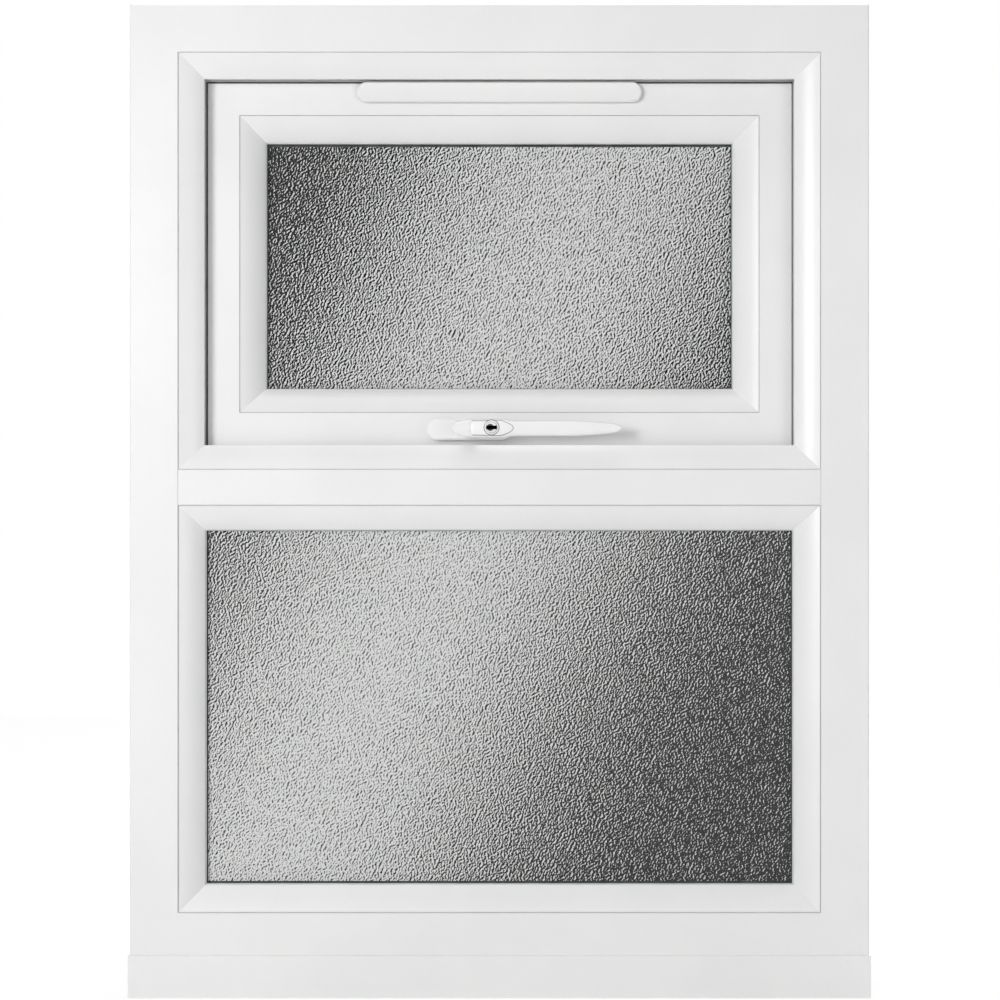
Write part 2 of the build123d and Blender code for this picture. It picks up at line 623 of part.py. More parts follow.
def make_stays():
    """The side stays: each arm turns on the jamb and slides in a track on the sash."""
    pivot, end = STAY_ARM_LENGTH, 2 * STAY_ARM_LENGTH
    open_end = end * cos(radians(SASH_OPEN_ANGLE))
    track_face = SASH_X + STAY_TRACK_DEPTH
    arm_x0 = track_face + STAY_PLAY
    arm_x1 = arm_x0 + STAY_ARM_THICKNESS
    bracket_x = REBATE_X - STAY_ARM_THICKNESS
    inner_width = STAY_TRACK_WIDTH - 2 * STAY_TRACK_WALL
    slot_width = 2 * STAY_RIVET_RADIUS + 2 * STAY_PLAY + 1
    margin = STAY_BLOCK_LENGTH / 2 + STAY_PLAY
    track = stay_strip(SASH_X, track_face, open_end - margin, end + margin, STAY_TRACK_WIDTH, False)
    track -= stay_strip(SASH_X + STAY_TRACK_WALL, track_face - STAY_TRACK_WALL,
                        open_end - 2 * margin, end + 2 * margin, inner_width, False)
    track -= stay_strip(SASH_X + STAY_TRACK_WALL, track_face + 1, open_end - 2 * margin,
                        end + 2 * margin, slot_width, False)
    block_x0 = SASH_X + STAY_TRACK_WALL + STAY_PLAY
    block_x1 = track_face - STAY_TRACK_WALL - STAY_PLAY
    slide = stay_strip(block_x0, block_x1, end - STAY_BLOCK_LENGTH / 2, end + STAY_BLOCK_LENGTH / 2,
                       inner_width - 2 * STAY_PLAY, False)
    slide += stay_rod(STAY_RIVET_RADIUS, block_x0, arm_x1, end)
    arm = stay_strip(arm_x0, arm_x1, pivot, end, STAY_ARM_WIDTH)
    for distance in (pivot, end):
        arm -= stay_rod(STAY_RIVET_RADIUS + RUNNING_FIT, arm_x0 - 1, arm_x1 + 1, distance)
    bracket_half = STAY_BRACKET_LENGTH / 2
    bracket = stay_strip(bracket_x, REBATE_X, pivot - bracket_half, pivot + bracket_half,
                         STAY_ARM_WIDTH, False)
    bracket &= block(bracket_x, REBATE_X, INSIDE, OUTSIDE, FRAME_BASE, FRAME_TOP)
    bracket += stay_rod(STAY_RIVET_RADIUS + 2, arm_x1 + STAY_PLAY, REBATE_X, pivot)
    bracket += stay_rod(STAY_RIVET_RADIUS, arm_x0, REBATE_X, pivot)
    save("stay_tracks", group([track, mirror(track, about=Plane.YZ)]))
    save("stay_brackets", group([bracket, mirror(bracket, about=Plane.YZ)]))
    for name, shape in (("stay_slide_block", slide), ("stay_arm", arm)):
        save(f"right_{name}", shape)
        save(f"left_{name}", mirror(shape, about=Plane.YZ))


def make_lock():
    """The lock along the sash's lower edge and its keeps on the transom."""
    face_top = SASH_BASE + FACEPLATE_THICKNESS
    rail_z0 = face_top + CLIP_CLEARANCE
    rail = block(-RAIL_LENGTH / 2, RAIL_LENGTH / 2, HARDWARE_LINE - RAIL_WIDTH / 2,
                 HARDWARE_LINE + RAIL_WIDTH / 2, rail_z0, rail_z0 + RAIL_THICKNESS)
    face_half = EURO_GROOVE_WIDTH / 2 - CLIP_CLEARANCE
    faceplate = block(-FACEPLATE_LENGTH / 2, FACEPLATE_LENGTH / 2, HARDWARE_LINE - face_half,
                      HARDWARE_LINE + face_half, SASH_BASE, face_top)
    keeps = []
    for x in (-CAM_SPACING / 2, CAM_SPACING / 2):
        rail += rod(CAM_RADIUS, (x, HARDWARE_LINE, SASH_BASE - CAM_REACH),
                    (x, HARDWARE_LINE, rail_z0 + RAIL_THICKNESS / 2))
        slot_half = CAM_RADIUS + CLIP_CLEARANCE
        faceplate -= block(x - LOCK_TRAVEL - slot_half, x + slot_half, HARDWARE_LINE - slot_half,
                           HARDWARE_LINE + slot_half, SASH_BASE - 1, face_top + 1)
        keep_x = x + CAM_RADIUS + JOINT_GAP
        lip_y = HARDWARE_LINE + CAM_RADIUS + JOINT_GAP
        keep = block(keep_x, keep_x + KEEP_LENGTH, HARDWARE_LINE - KEEP_BACK,
                     lip_y + WALL, TRANSOM_TOP, TRANSOM_TOP + RAIL_THICKNESS)
        lip = block(keep_x, keep_x + KEEP_LENGTH, lip_y, lip_y + WALL, TRANSOM_TOP,
                    TRANSOM_TOP + KEEP_HEIGHT)
        keeps.append(keep + lip)
    save("lock_drive_rail", rail)
    save("lock_faceplate", faceplate)
    save("lock_keeps", group(keeps))
    half_box = GEARBOX_THICKNESS / 2
    follower_radius = LEVER_NECK_RADIUS
    gearbox = block(HANDLE_X - GEARBOX_LENGTH / 2, HANDLE_X + GEARBOX_LENGTH / 2,
                    HARDWARE_LINE - half_box, HARDWARE_LINE + half_box, GROOVE_TOP,
                    GROOVE_TOP + GEARBOX_HEIGHT)
    ends = ((HANDLE_X, HARDWARE_LINE - half_box, LOCK_Z), (HANDLE_X, HARDWARE_LINE + half_box, LOCK_Z))
    save("lock_gearbox", gearbox - rod(follower_radius + RUNNING_FIT, *ends))
    square = block(HANDLE_X - SPINDLE / 2, HANDLE_X + SPINDLE / 2, SASH_INSIDE, SASH_OUTSIDE,
                   LOCK_Z - SPINDLE / 2, LOCK_Z + SPINDLE / 2)
    save("lock_follower", rod(follower_radius, *ends) - square)


def lever_outline():
    """The lever seen from the room, closed, with its tip to the right."""
    tail = HANDLE_X - LEVER_TAIL
    shoulder = tail + LEVER_HALF_WIDTH
    top, low = LEVER_Z + LEVER_HALF_WIDTH, LEVER_Z - LEVER_HALF_WIDTH
    tip = HANDLE_X + LEVER_REACH
    tip_x = tip - LEVER_TIP_RADIUS
    tip_z = LEVER_Z + LEVER_RISE
    tip_top, tip_low = tip_z + LEVER_TIP_RADIUS, tip_z - LEVER_TIP_RADIUS
    belly = (shoulder + tip_x) / 2
    top_mid = (belly, (top + tip_top) / 2 + LEVER_BELLY)
    low_mid = (belly, (low + tip_low) / 2 - LEVER_BELLY / 2)
    top_run = ThreePointArc((shoulder, top), top_mid, (tip_x, tip_top))
    low_run = ThreePointArc((tip_x, tip_low), low_mid, (shoulder, low))
    tip_arc = ThreePointArc((tip_x, tip_top), (tip, tip_z), (tip_x, tip_low))
    tail_arc = ThreePointArc((shoulder, low), (tail, LEVER_Z), (shoulder, top))
    return Plane.XZ * make_face(top_run + tip_arc + low_run + tail_arc)


def lever_grip():
    """The grip: its outline cut by its side profile, with eased edges and a finger scoop."""
    tail_x, tip_x = HANDLE_X - 2 * LEVER_TAIL, HANDLE_X + LEVER_REACH + 1
    back = LEVER_Y + LEVER_THICKNESS
    tip_y = LEVER_Y + LEVER_TIP_SET_BACK
    side = outline((tail_x, back), (HANDLE_X + LEVER_TAIL, back),
                   (tip_x, tip_y + LEVER_TIP_THICKNESS), (tip_x, tip_y),
                   (HANDLE_X + 3 * LEVER_TAIL, LEVER_Y), (tail_x, LEVER_Y))
    grip = extrude(lever_outline(), LONG, both=True)
    grip &= extrude(Plane.XY.offset(LOCK_Z) * side, BASE_LENGTH, both=True)
    grip = chamfer(grip.edges(), LEVER_EDGE)
    scoop_x = HANDLE_X - LEVER_TAIL + SCOOP_SET_IN
    scoop_y = LEVER_Y + SCOOP_DEPTH - SCOOP_RADIUS
    return grip - rod(SCOOP_RADIUS, (scoop_x, scoop_y, LOCK_Z - BASE_WIDTH),
                      (scoop_x, scoop_y, LOCK_Z + BASE_WIDTH))


def lever_pad():
    """The raised pad around the key cylinder: round behind, running to a point in front."""
    start, tip = HANDLE_X, CYLINDER_X + PAD_REACH
    middle = (start + tip) / 2
    top, low = LEVER_Z + PAD_HALF_WIDTH, LEVER_Z - PAD_HALF_WIDTH
    shoulder = PAD_HALF_WIDTH * cos(radians(SASH_OPEN_ANGLE))
    back = ThreePointArc((start, low), (start - PAD_HALF_WIDTH, LEVER_Z), (start, top))
    upper = ThreePointArc((start, top), (middle, LEVER_Z + shoulder), (tip, LEVER_Z))
    lower = ThreePointArc((tip, LEVER_Z), (middle, LEVER_Z - shoulder), (start, low))
    return extrude(Plane.XZ.offset(-LEVER_Y - 1) * make_face(back + upper + lower), PAD_RAISE + 1)


def make_handle_base():
    """The handle's fixed parts: base, snap-on cover and the two screws under it."""
    inner = BASE_COVER_WALL + CLIP_CLEARANCE
    plate_y = SASH_INSIDE - BASE_PLATE
    cover_y = SASH_INSIDE - BASE_HEIGHT
    axis = ((HANDLE_X, SASH_INSIDE + 1, LOCK_Z), (HANDLE_X, cover_y - 1, LOCK_Z))
    base = capsule(BASE_LENGTH - 2 * inner, BASE_WIDTH - 2 * inner, plate_y, SASH_INSIDE,
                   HANDLE_X, LOCK_Z)
    base -= rod(LEVER_NECK_RADIUS + RUNNING_FIT, *axis)
    cover = capsule(BASE_LENGTH, BASE_WIDTH, cover_y, SASH_INSIDE, HANDLE_X, LOCK_Z)
    cover = chamfer(cover.faces().sort_by(Axis.Y)[0].edges(), BASE_COVER_WALL)
    cover -= capsule(BASE_LENGTH - 2 * BASE_COVER_WALL, BASE_WIDTH - 2 * BASE_COVER_WALL,
                     cover_y + BASE_COVER_WALL, SASH_INSIDE + 1, HANDLE_X, LOCK_Z)
    cover -= rod(LEVER_NECK_RADIUS + STAY_PLAY, *axis)
    screws = []
    for x in screw_places():
        shank = rod(SCREW_RADIUS, (x, plate_y, LOCK_Z), (x, SASH_INSIDE + SCREW_BITE, LOCK_Z))
        head = rod(SCREW_HEAD_RADIUS, (x, plate_y - SCREW_HEAD_HEIGHT, LOCK_Z), (x, plate_y, LOCK_Z))
        base -= shank
        screws.append(shank + head)
    save("handle_base", base)
    save("handle_base_cover", cover)
    save("handle_screws", group(screws))


def make_handle():
    """The lever with its neck and square spindle, and the key cylinder set in it."""
    neck_end = SASH_INSIDE - BASE_PLATE + 1
    half = SPINDLE / 2
    lever = lever_grip() + lever_pad()
    lever += rod(LEVER_NECK_RADIUS, (HANDLE_X, neck_end, LOCK_Z),
                 (HANDLE_X, LEVER_Y + LEVER_THICKNESS / 2, LOCK_Z))
    lever += block(HANDLE_X - half, HANDLE_X + half, neck_end,
                   HARDWARE_LINE + GEARBOX_THICKNESS / 2, LOCK_Z - half, LOCK_Z + half)
    face_y = LEVER_Y - PAD_RAISE - CYLINDER_PROUD
    back_y = LEVER_Y + LEVER_THICKNESS - CYLINDER_BED
    plug_end = back_y - CYLINDER_BED
    face = (CYLINDER_X, face_y, LEVER_Z)
    cylinder = rod(CYLINDER_RADIUS, face, (CYLINDER_X, back_y, LEVER_Z))
    save("handle_lever", lever - cylinder)
    save("key_cylinder", cylinder - rod(PLUG_RADIUS + RUNNING_FIT, face, (CYLINDER_X, plug_end, LEVER_Z)))
    plug = rod(PLUG_RADIUS, face, (CYLINDER_X, plug_end - RUNNING_FIT, LEVER_Z))
    keyway = Plane(origin=(CYLINDER_X, face_y + LEVER_THICKNESS / 2, LEVER_Z), z_dir=(0, -1, 0))
    save("key_plug", plug - extrude(keyway * SlotOverall(KEYWAY_LENGTH, KEYWAY_WIDTH), LEVER_THICKNESS))


def make_vent():
    """The trickle vent: back plate, the flap that tilts on its lugs, and the outer canopy."""
    plate_y = SASH_INSIDE - VENT_PLATE
    plate = capsule(VENT_LENGTH - 2 * FLAP_INSET, VENT_HEIGHT - 2 * FLAP_INSET, plate_y,
                    SASH_INSIDE, 0, VENT_Z)
    plate -= block(-VENT_SLOT_LENGTH / 2, VENT_SLOT_LENGTH / 2, plate_y - 1, SASH_INSIDE + 1,
                   VENT_Z - VENT_SLOT_HEIGHT / 2, VENT_Z + VENT_SLOT_HEIGHT / 2)
    flap_back = plate_y - FLAP_GAP
    flap_front = SASH_INSIDE - VENT_PROUD
    flap = capsule(VENT_LENGTH, VENT_HEIGHT, flap_front, flap_back, 0, VENT_Z)
    flap = chamfer(flap.faces().sort_by(Axis.Y)[0].edges(), VENT_EDGE)
    flap -= capsule(VENT_LENGTH - 2 * VENT_WALL, VENT_HEIGHT - 2 * VENT_WALL,
                    flap_front + VENT_WALL, flap_back + 1, 0, VENT_Z)
    axis_y = flap_back - FLAP_AXIS_DEPTH
    axis_z = VENT_Z - VENT_HEIGHT / 2 + FLAP_AXIS_RISE
    lug_radius = FLAP_PIN_RADIUS + RUNNING_FIT + FLAP_LUG_WALL
    cheek_reach = (FLAP_PIN_LENGTH - FLAP_LUG) / 2
    for x in (-FLAP_LUG_SPACING / 2, FLAP_LUG_SPACING / 2):
        lug_x = (x - FLAP_LUG / 2, x + FLAP_LUG / 2)
        plate += rod(lug_radius, (lug_x[0], axis_y, axis_z), (lug_x[1], axis_y, axis_z))
        plate += block(*lug_x, axis_y - lug_radius, plate_y, axis_z, axis_z + 2 * FLAP_INSET)
        ends = ((x - FLAP_PIN_LENGTH / 2, axis_y, axis_z), (x + FLAP_PIN_LENGTH / 2, axis_y, axis_z))
        plate -= rod(FLAP_PIN_RADIUS + RUNNING_FIT, *ends)
        flap += rod(FLAP_PIN_RADIUS, *ends)
        for cheek_x in (x - cheek_reach, x + cheek_reach):
            flap += block(cheek_x - FLAP_LUG / 2, cheek_x + FLAP_LUG / 2, flap_front + VENT_WALL / 2,
                          axis_y + FLAP_CHEEK_HALF, axis_z - FLAP_CHEEK_HALF,
                          axis_z + FLAP_CHEEK_HALF)
    save("vent_back_plate", plate)
    save("vent_flap", flap)
    save("vent_outer_canopy", vent_canopy())


def vent_canopy():
    """The hood over the vent's outer slot: sloping front, closed ends, open below."""
    front = SASH_OUTSIDE + CANOPY_PROUD
    brow = SASH_OUTSIDE + CANOPY_TOP_DEPTH
    top, low = VENT_Z + CANOPY_HEIGHT / 2, VENT_Z - CANOPY_HEIGHT / 2
    run = Plane(origin=(-VENT_LENGTH / 2, 0, 0), x_dir=(0, 1, 0), z_dir=(1, 0, 0))
    hood = outline((SASH_OUTSIDE, low), (SASH_OUTSIDE, top), (brow, top),
                   (front, low + CANOPY_LIP), (front, low))
    cavity = outline((SASH_OUTSIDE - 1, low - 1), (SASH_OUTSIDE - 1, top - VENT_WALL),
                     (brow - VENT_WALL / 2, top - VENT_WALL),
                     (front - VENT_WALL, low + CANOPY_LIP - VENT_WALL / 2),
                     (front - VENT_WALL, low - 1))
    hollow = extrude(run.offset(VENT_WALL) * cavity, VENT_LENGTH - 2 * VENT_WALL)
    return extrude(run * hood, VENT_LENGTH) - hollow


def make_drain_caps():
    """The two drain caps on the bottom rail's outer face."""
    cap_z = FRAME_BASE + FRAME_FACE / 2
    caps = []
    for x in (-DRAIN_CAP_SPACING / 2, DRAIN_CAP_SPACING / 2):
        cap = capsule(DRAIN_CAP_LENGTH, DRAIN_CAP_HEIGHT, OUTSIDE, OUTSIDE + DRAIN_CAP_DEPTH, x, cap_z)
        caps.append(chamfer(cap.faces().sort_by(Axis.Y)[-1].edges(), DRAIN_CAP_EDGE))
    save("drain_caps", group(caps))


make_frame()
make_sill()
make_fixed_light()
make_opener_stops()
make_sash()
make_hinges()
make_stays()
make_lock()
make_handle_base()
make_handle()
make_vent()
make_drain_caps()
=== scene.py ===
"""The looks of a white top-hung window with obscure glass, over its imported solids.

Lengths are in metres in the solids' own frame: +Z up, +X right and +Y out of the room.
"""

import logging
from dataclasses import dataclass
from enum import Enum
from math import copysign, cos, pi, radians, sin, sqrt
from typing import Any, Iterable, Optional, Sequence, Union

import bmesh
import bpy
from mathutils import Matrix, Vector


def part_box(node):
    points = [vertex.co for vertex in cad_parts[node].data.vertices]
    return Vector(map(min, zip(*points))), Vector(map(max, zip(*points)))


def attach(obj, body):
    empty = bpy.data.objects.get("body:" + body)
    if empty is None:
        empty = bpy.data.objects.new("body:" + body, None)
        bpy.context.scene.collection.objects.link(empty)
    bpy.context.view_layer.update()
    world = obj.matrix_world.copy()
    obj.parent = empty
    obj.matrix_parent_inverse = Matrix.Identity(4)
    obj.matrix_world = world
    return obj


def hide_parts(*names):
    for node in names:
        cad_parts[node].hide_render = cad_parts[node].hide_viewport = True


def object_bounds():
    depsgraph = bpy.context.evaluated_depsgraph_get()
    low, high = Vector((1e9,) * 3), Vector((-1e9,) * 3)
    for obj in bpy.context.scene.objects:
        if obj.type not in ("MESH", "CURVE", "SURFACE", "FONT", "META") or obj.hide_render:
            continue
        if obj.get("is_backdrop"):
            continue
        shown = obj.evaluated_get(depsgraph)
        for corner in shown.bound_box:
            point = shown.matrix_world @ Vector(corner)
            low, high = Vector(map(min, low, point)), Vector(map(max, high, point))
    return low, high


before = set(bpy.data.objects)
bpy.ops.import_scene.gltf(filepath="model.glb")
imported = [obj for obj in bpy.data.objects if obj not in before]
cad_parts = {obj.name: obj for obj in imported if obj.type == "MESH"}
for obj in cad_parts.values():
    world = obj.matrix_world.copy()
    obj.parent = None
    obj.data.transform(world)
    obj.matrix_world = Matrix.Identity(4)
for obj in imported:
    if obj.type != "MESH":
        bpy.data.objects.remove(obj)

LOG = logging.getLogger("window")

MM = 0.001
Colour = tuple[float, float, float]
Outline = list[tuple[float, float]]
Place = tuple[Vector, Vector]
Rectangle = tuple[float, float, float, float]
Feed = Union["Signal", float, tuple, Vector]


class Slot(Enum):
    """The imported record's material slots, apart from the obscure glass of the inner panes."""

    UPVC = "white_upvc"
    CLEAR = "clear_glass"
    RUBBER = "black_rubber"
    STEEL = "galvanised_steel"
    PAINTED = "white_painted_metal"
    SPACER = "spacer_aluminium"
    PACKER = "packer_plastic"
    CHROME = "key_chrome"


class Body(Enum):
    """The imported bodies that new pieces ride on."""

    FRAME = "frame"
    SASH = "sash"
    LEVER = "lever"
    PLUG = "key_plug"
    LEFT_ARM = "left_arm"
    RIGHT_ARM = "right_arm"


@dataclass(frozen=True)
class Signal:
    """A number or vector that runs through a shader and takes part in plain arithmetic."""

    shader: "Shader"
    socket: bpy.types.NodeSocket

    def __add__(self, other: Feed) -> "Signal":
        """This plus another value."""
        return self.shader.maths("ADD", self, other)

    def __sub__(self, other: Feed) -> "Signal":
        """This less another value."""
        return self.shader.maths("SUBTRACT", self, other)

    def __rsub__(self, other: Feed) -> "Signal":
        """Another value less this."""
        return self.shader.maths("SUBTRACT", other, self)

    def __mul__(self, other: Feed) -> "Signal":
        """This times another value."""
        return self.shader.maths("MULTIPLY", self, other)

    def __truediv__(self, other: Feed) -> "Signal":
        """This divided by another value."""
        return self.shader.maths("DIVIDE", self, other)

    def __rtruediv__(self, other: Feed) -> "Signal":
        """Another value divided by this."""
        return self.shader.maths("DIVIDE", other, self)

    def __pow__(self, other: Feed) -> "Signal":
        """This to a power."""
        return self.shader.maths("POWER", self, other)

    def __rpow__(self, other: Feed) -> "Signal":
        """Another value to the power of this."""
        return self.shader.maths("POWER", other, self)

    def __neg__(self) -> "Signal":
        """This with its sign turned."""
        return self * -1.0

    __radd__ = __add__
    __rmul__ = __mul__

    def least(self, other: Feed) -> "Signal":
        """The lower of this and another value.

        Args:
            other: The value to compare with.

        Returns:
            The lower value.
        """
        return self.shader.maths("MINIMUM", self, other)

    def most(self, other: Feed) -> "Signal":
        """The higher of this and another value.

        Args:
            other: The value to compare with.

        Returns:
            The higher value.
        """
        return self.shader.maths("MAXIMUM", self, other)

    def smooth(self, low: float, high: float) -> "Signal":
        """A soft step from 0 at low to 1 at high.

        Args:
            low: Where the step starts.
            high: Where the step ends.

        Returns:
            A value from 0 to 1.
        """
        return self.shader.node("ShaderNodeMapRange", {"interpolation_type": "SMOOTHSTEP"},
                                {"Value": self, "From Min": low, "From Max": high})


class Shader:
    """A material or world whose nodes are made through one method."""

    def __init__(self, owner: Union[bpy.types.Material, bpy.types.World]) -> None:
        """Empty the owner's nodes.

        Args:
            owner: The material or world to shade.
        """
        self.owner = owner
        owner.use_nodes = True
        self.tree = owner.node_tree
        self.tree.nodes.clear()

    @staticmethod
    def find(sockets: Iterable[bpy.types.NodeSocket], key: Union[str, int]) -> bpy.types.NodeSocket:
        """The socket in use that has a name, or a place among those in use.

        Args:
            sockets: A node's inputs or outputs.
            key: The name or the place.

        Returns:
            The socket.
        """
        live = [socket for socket in sockets if socket.enabled]
        return live[key] if isinstance(key, int) else next(s for s in live if s.name == key)

    def node(self, kind: str, settings: Optional[dict[str, Any]] = None,
             inputs: Optional[dict[Union[str, int], Feed]] = None,
             output: Union[str, int] = 0) -> Signal:
        """Add a node: its type, then its settings, then its inputs.

        Args:
            kind: The node's type.
            settings: Properties set before any input.
            inputs: Values or signals by socket name or place.
            output: The output that is wanted.

        Returns:
            The signal of that output.
        """
        node = self.tree.nodes.new(kind)
        for key, value in (settings or {}).items():
            setattr(node, key, value)
        for key, value in (inputs or {}).items():
            socket = self.find(node.inputs, key)
            if isinstance(value, Signal):
                self.tree.links.new(value.socket, socket)
            else:
                socket.default_value = value
        outputs = [socket for socket in node.outputs if socket.enabled]
        return Signal(self, self.find(node.outputs, output)) if outputs else Signal(self, None)

    def maths(self, operation: str, *values: Feed) -> Signal:
        """One Math node.

        Args:
            operation: Its operation.
            values: Its inputs in order.

        Returns:
            The result.
        """
        return self.node("ShaderNodeMath", {"operation": operation}, dict(enumerate(values)))

    def vector(self, operation: str, *values: Feed) -> Signal:
        """One Vector Math node.

        Args:
            operation: Its operation.
            values: Its inputs in order.

        Returns:
            The result.
        """
        return self.node("ShaderNodeVectorMath", {"operation": operation}, dict(enumerate(values)))

    def place(self) -> Signal:
        """The point on the surface in the solids' own frame.

        Returns:
            A vector in metres.
        """
        return self.node("ShaderNodeTexCoord", output="Object")

    def axes(self, point: Signal) -> tuple[Signal, Signal, Signal]:
        """The three parts of a vector.

        Args:
            point: The vector.

        Returns:
            Its X, Y and Z.
        """
        x_part = self.node("ShaderNodeSeparateXYZ", {}, {"Vector": point}, "X")
        outputs = x_part.socket.node.outputs
        return x_part, Signal(self, outputs["Y"]), Signal(self, outputs["Z"])

    def noise(self, point: Signal, size: float, detail: float = 2.0, rough: float = 0.5) -> Signal:
        """Soft noise of a real size.

        Args:
            point: Where it is read.
            size: The length of one cell in metres.
            detail: How many finer layers it has.
            rough: How strong the finer layers are.

        Returns:
            A value around one half.
        """
        return self.node("ShaderNodeTexNoise", {}, {"Vector": point, "Scale": 1.0 / size,
                                                    "Detail": detail, "Roughness": rough}, 0)

    def mix(self, factor: Feed, first: Union[Signal, Colour], second: Union[Signal, Colour]) -> Signal:
        """A blend of two colours.

        Args:
            factor: 0 for the first, 1 for the second.
            first: A colour.
            second: A colour.

        Returns:
            The blended colour.
        """
        sides = [side if isinstance(side, Signal) else (*side, 1.0) for side in (first, second)]
        return self.node("ShaderNodeMix", {"data_type": "RGBA"},
                         {"Factor": factor, "A": sides[0], "B": sides[1]})

    def bump(self, height: Signal, depth: float) -> Signal:
        """A surface that rises and falls.

        Args:
            height: The height from 0 to 1.
            depth: The real depth of that range in metres.

        Returns:
            The bent normal.
        """
        return self.node("ShaderNodeBump", {}, {"Height": height, "Distance": depth,
                                                "Strength": 1.0})

    def surface(self, **inputs: Feed) -> bpy.types.Material:
        """Finish the material with a Principled surface.

        Args:
            inputs: The surface's inputs, with _ for each space.

        Returns:
            The finished material.
        """
        named = {key.replace("_", " "): value for key, value in inputs.items()}
        shaded = self.node("ShaderNodeBsdfPrincipled", {}, named)
        return self.close(shaded)

    def close(self, shaded: Signal, output: str = "ShaderNodeOutputMaterial") -> Any:
        """Send a finished surface to the output.

        Args:
            shaded: The surface.
            output: The output node's type.

        Returns:
            The finished material or world.
        """
        self.node(output, {}, {"Surface": shaded})
        return self.owner


@dataclass(frozen=True)
class WhiteUpvc:
    """Extruded white plastic: satin, faintly cloudy, with a grain too fine to see from afar."""

    name: str = "white_upvc"
    pale: Colour = (0.825, 0.828, 0.822)
    deep: Colour = (0.79, 0.795, 0.79)
    cloud: float = 90 * MM
    cloud_range: tuple[float, float] = (0.3, 0.7)
    cloud_share: float = 0.7
    grain: float = 1.1 * MM
    grain_depth: float = 0.012 * MM
    gloss: float = 0.26
    gloss_drift: float = 0.12

    def build(self) -> bpy.types.Material:
        """Make the material.

        Returns:
            The finished material.
        """
        shader = Shader(bpy.data.materials.new(self.name))
        point = shader.place()
        cloud = shader.noise(point, self.cloud, detail=3.0)
        grain = shader.noise(point, self.grain)
        blend = cloud.smooth(*self.cloud_range) * self.cloud_share + grain * (1 - self.cloud_share)
        colour = shader.mix(blend, self.deep, self.pale)
        return shader.surface(Base_Color=colour, Roughness=cloud * self.gloss_drift + self.gloss,
                              Normal=shader.bump(grain, self.grain_depth))


@dataclass(frozen=True)
class PaintedMetal:
    """White powder coat: a soft orange-peel skin over metal."""

    name: str = "white_painted_metal"
    pale: Colour = (0.87, 0.872, 0.868)
    deep: Colour = (0.83, 0.835, 0.83)
    peel: float = 0.9 * MM
    peel_depth: float = 0.02 * MM
    cloud_cells: float = 25
    gloss: float = 0.2
    gloss_drift: float = 0.1
    lacquer: float = 0.3
    lacquer_gloss: float = 0.12

    def build(self) -> bpy.types.Material:
        """Make the material.

        Returns:
            The finished material.
        """
        shader = Shader(bpy.data.materials.new(self.name))
        point = shader.place()
        peel = shader.noise(point, self.peel, detail=1.0)
        cloud = shader.noise(point, self.cloud_cells * self.peel)
        return shader.surface(Base_Color=shader.mix(cloud, self.deep, self.pale),
                              Roughness=cloud * self.gloss_drift + self.gloss,
                              Normal=shader.bump(peel, self.peel_depth),
                              Coat_Weight=self.lacquer, Coat_Roughness=self.lacquer_gloss)


@dataclass(frozen=True)
class ObscureGlass:
    """Textured glass: leaning flecks, each with painted shade on one side and a painted
    highlight on the other, drawn from the relief.

    A slanted band of painted light crosses the pane, and the glass is darker away from it.
    The floor and the ceiling are the darkest and brightest tone that a fleck reaches.
    """

    name: str
    band_x: float
    band_z: float
    dark: float
    bright: float
    spread: float
    band_lean: float = 0.5
    fleck_width: float = 1.75 * MM
    fleck_length: float = 2.1 * MM
    fleck_lean: float = radians(25)
    fleck_shift: float = 0.35
    fleck_detail: float = 1.0
    fleck_roughness: float = 0.4
    relief: float = 0.22 * MM
    fleck_shade_contrast: float = 10.0
    floor: float = 0.06
    ceiling: float = 0.86
    encoding: float = 2.2
    exposure: float = 0.92
    green: float = 1.004
    blue: float = 0.998
    gloss: float = 0.24
    shine: float = 0.2
    polish: float = 0.22
    polish_gloss: float = 0.06

    def build(self) -> bpy.types.Material:
        """Make the material.

        Returns:
            The finished material.
        """
        shader = Shader(bpy.data.materials.new(self.name))
        x, _, z = shader.axes(shader.place())
        across = x * cos(self.fleck_lean) - z * sin(self.fleck_lean)
        along = x * sin(self.fleck_lean) + z * cos(self.fleck_lean)
        # Painted shade and highlight: the relief is read twice, a little apart, and the difference
        # gives each fleck a dark side and a bright side.
        height = self.height(shader, across, along, 0.0)
        fleck_shade = self.height(shader, across, along, self.fleck_shift) - height
        # Painted light: the tone is brightest along a slanted band and darker away from it.
        off_band = (x - self.band_x) - (z - self.band_z) * self.band_lean
        glow = shader.maths("EXPONENT", -((off_band / self.spread) ** 2.0))
        tone = glow * (self.bright - self.dark) + self.dark
        value = (tone + fleck_shade * self.fleck_shade_contrast).most(self.floor).least(self.ceiling)
        linear = value ** self.encoding * self.exposure
        tint = shader.node("ShaderNodeCombineColor", {}, {0: linear, 1: linear * self.green,
                                                          2: linear * self.blue})
        relief = shader.bump(height, self.relief)
        return shader.surface(Base_Color=tint, Roughness=self.gloss, Specular_IOR_Level=self.shine,
                              Normal=relief, Coat_Weight=self.polish,
                              Coat_Roughness=self.polish_gloss)

    def height(self, shader: Shader, across: Signal, along: Signal, shift: float) -> Signal:
        """The glass's relief at a place moved sideways by a share of a fleck.

        Args:
            shader: The material in hand.
            across: The place across the flecks in metres.
            along: The place along them.
            shift: The move in fleck widths.

        Returns:
            A height around one half.
        """
        spot = shader.node("ShaderNodeCombineXYZ", {}, {"X": across / self.fleck_width + shift,
                                                        "Y": along / self.fleck_length})
        return shader.noise(spot, 1.0, self.fleck_detail, self.fleck_roughness)


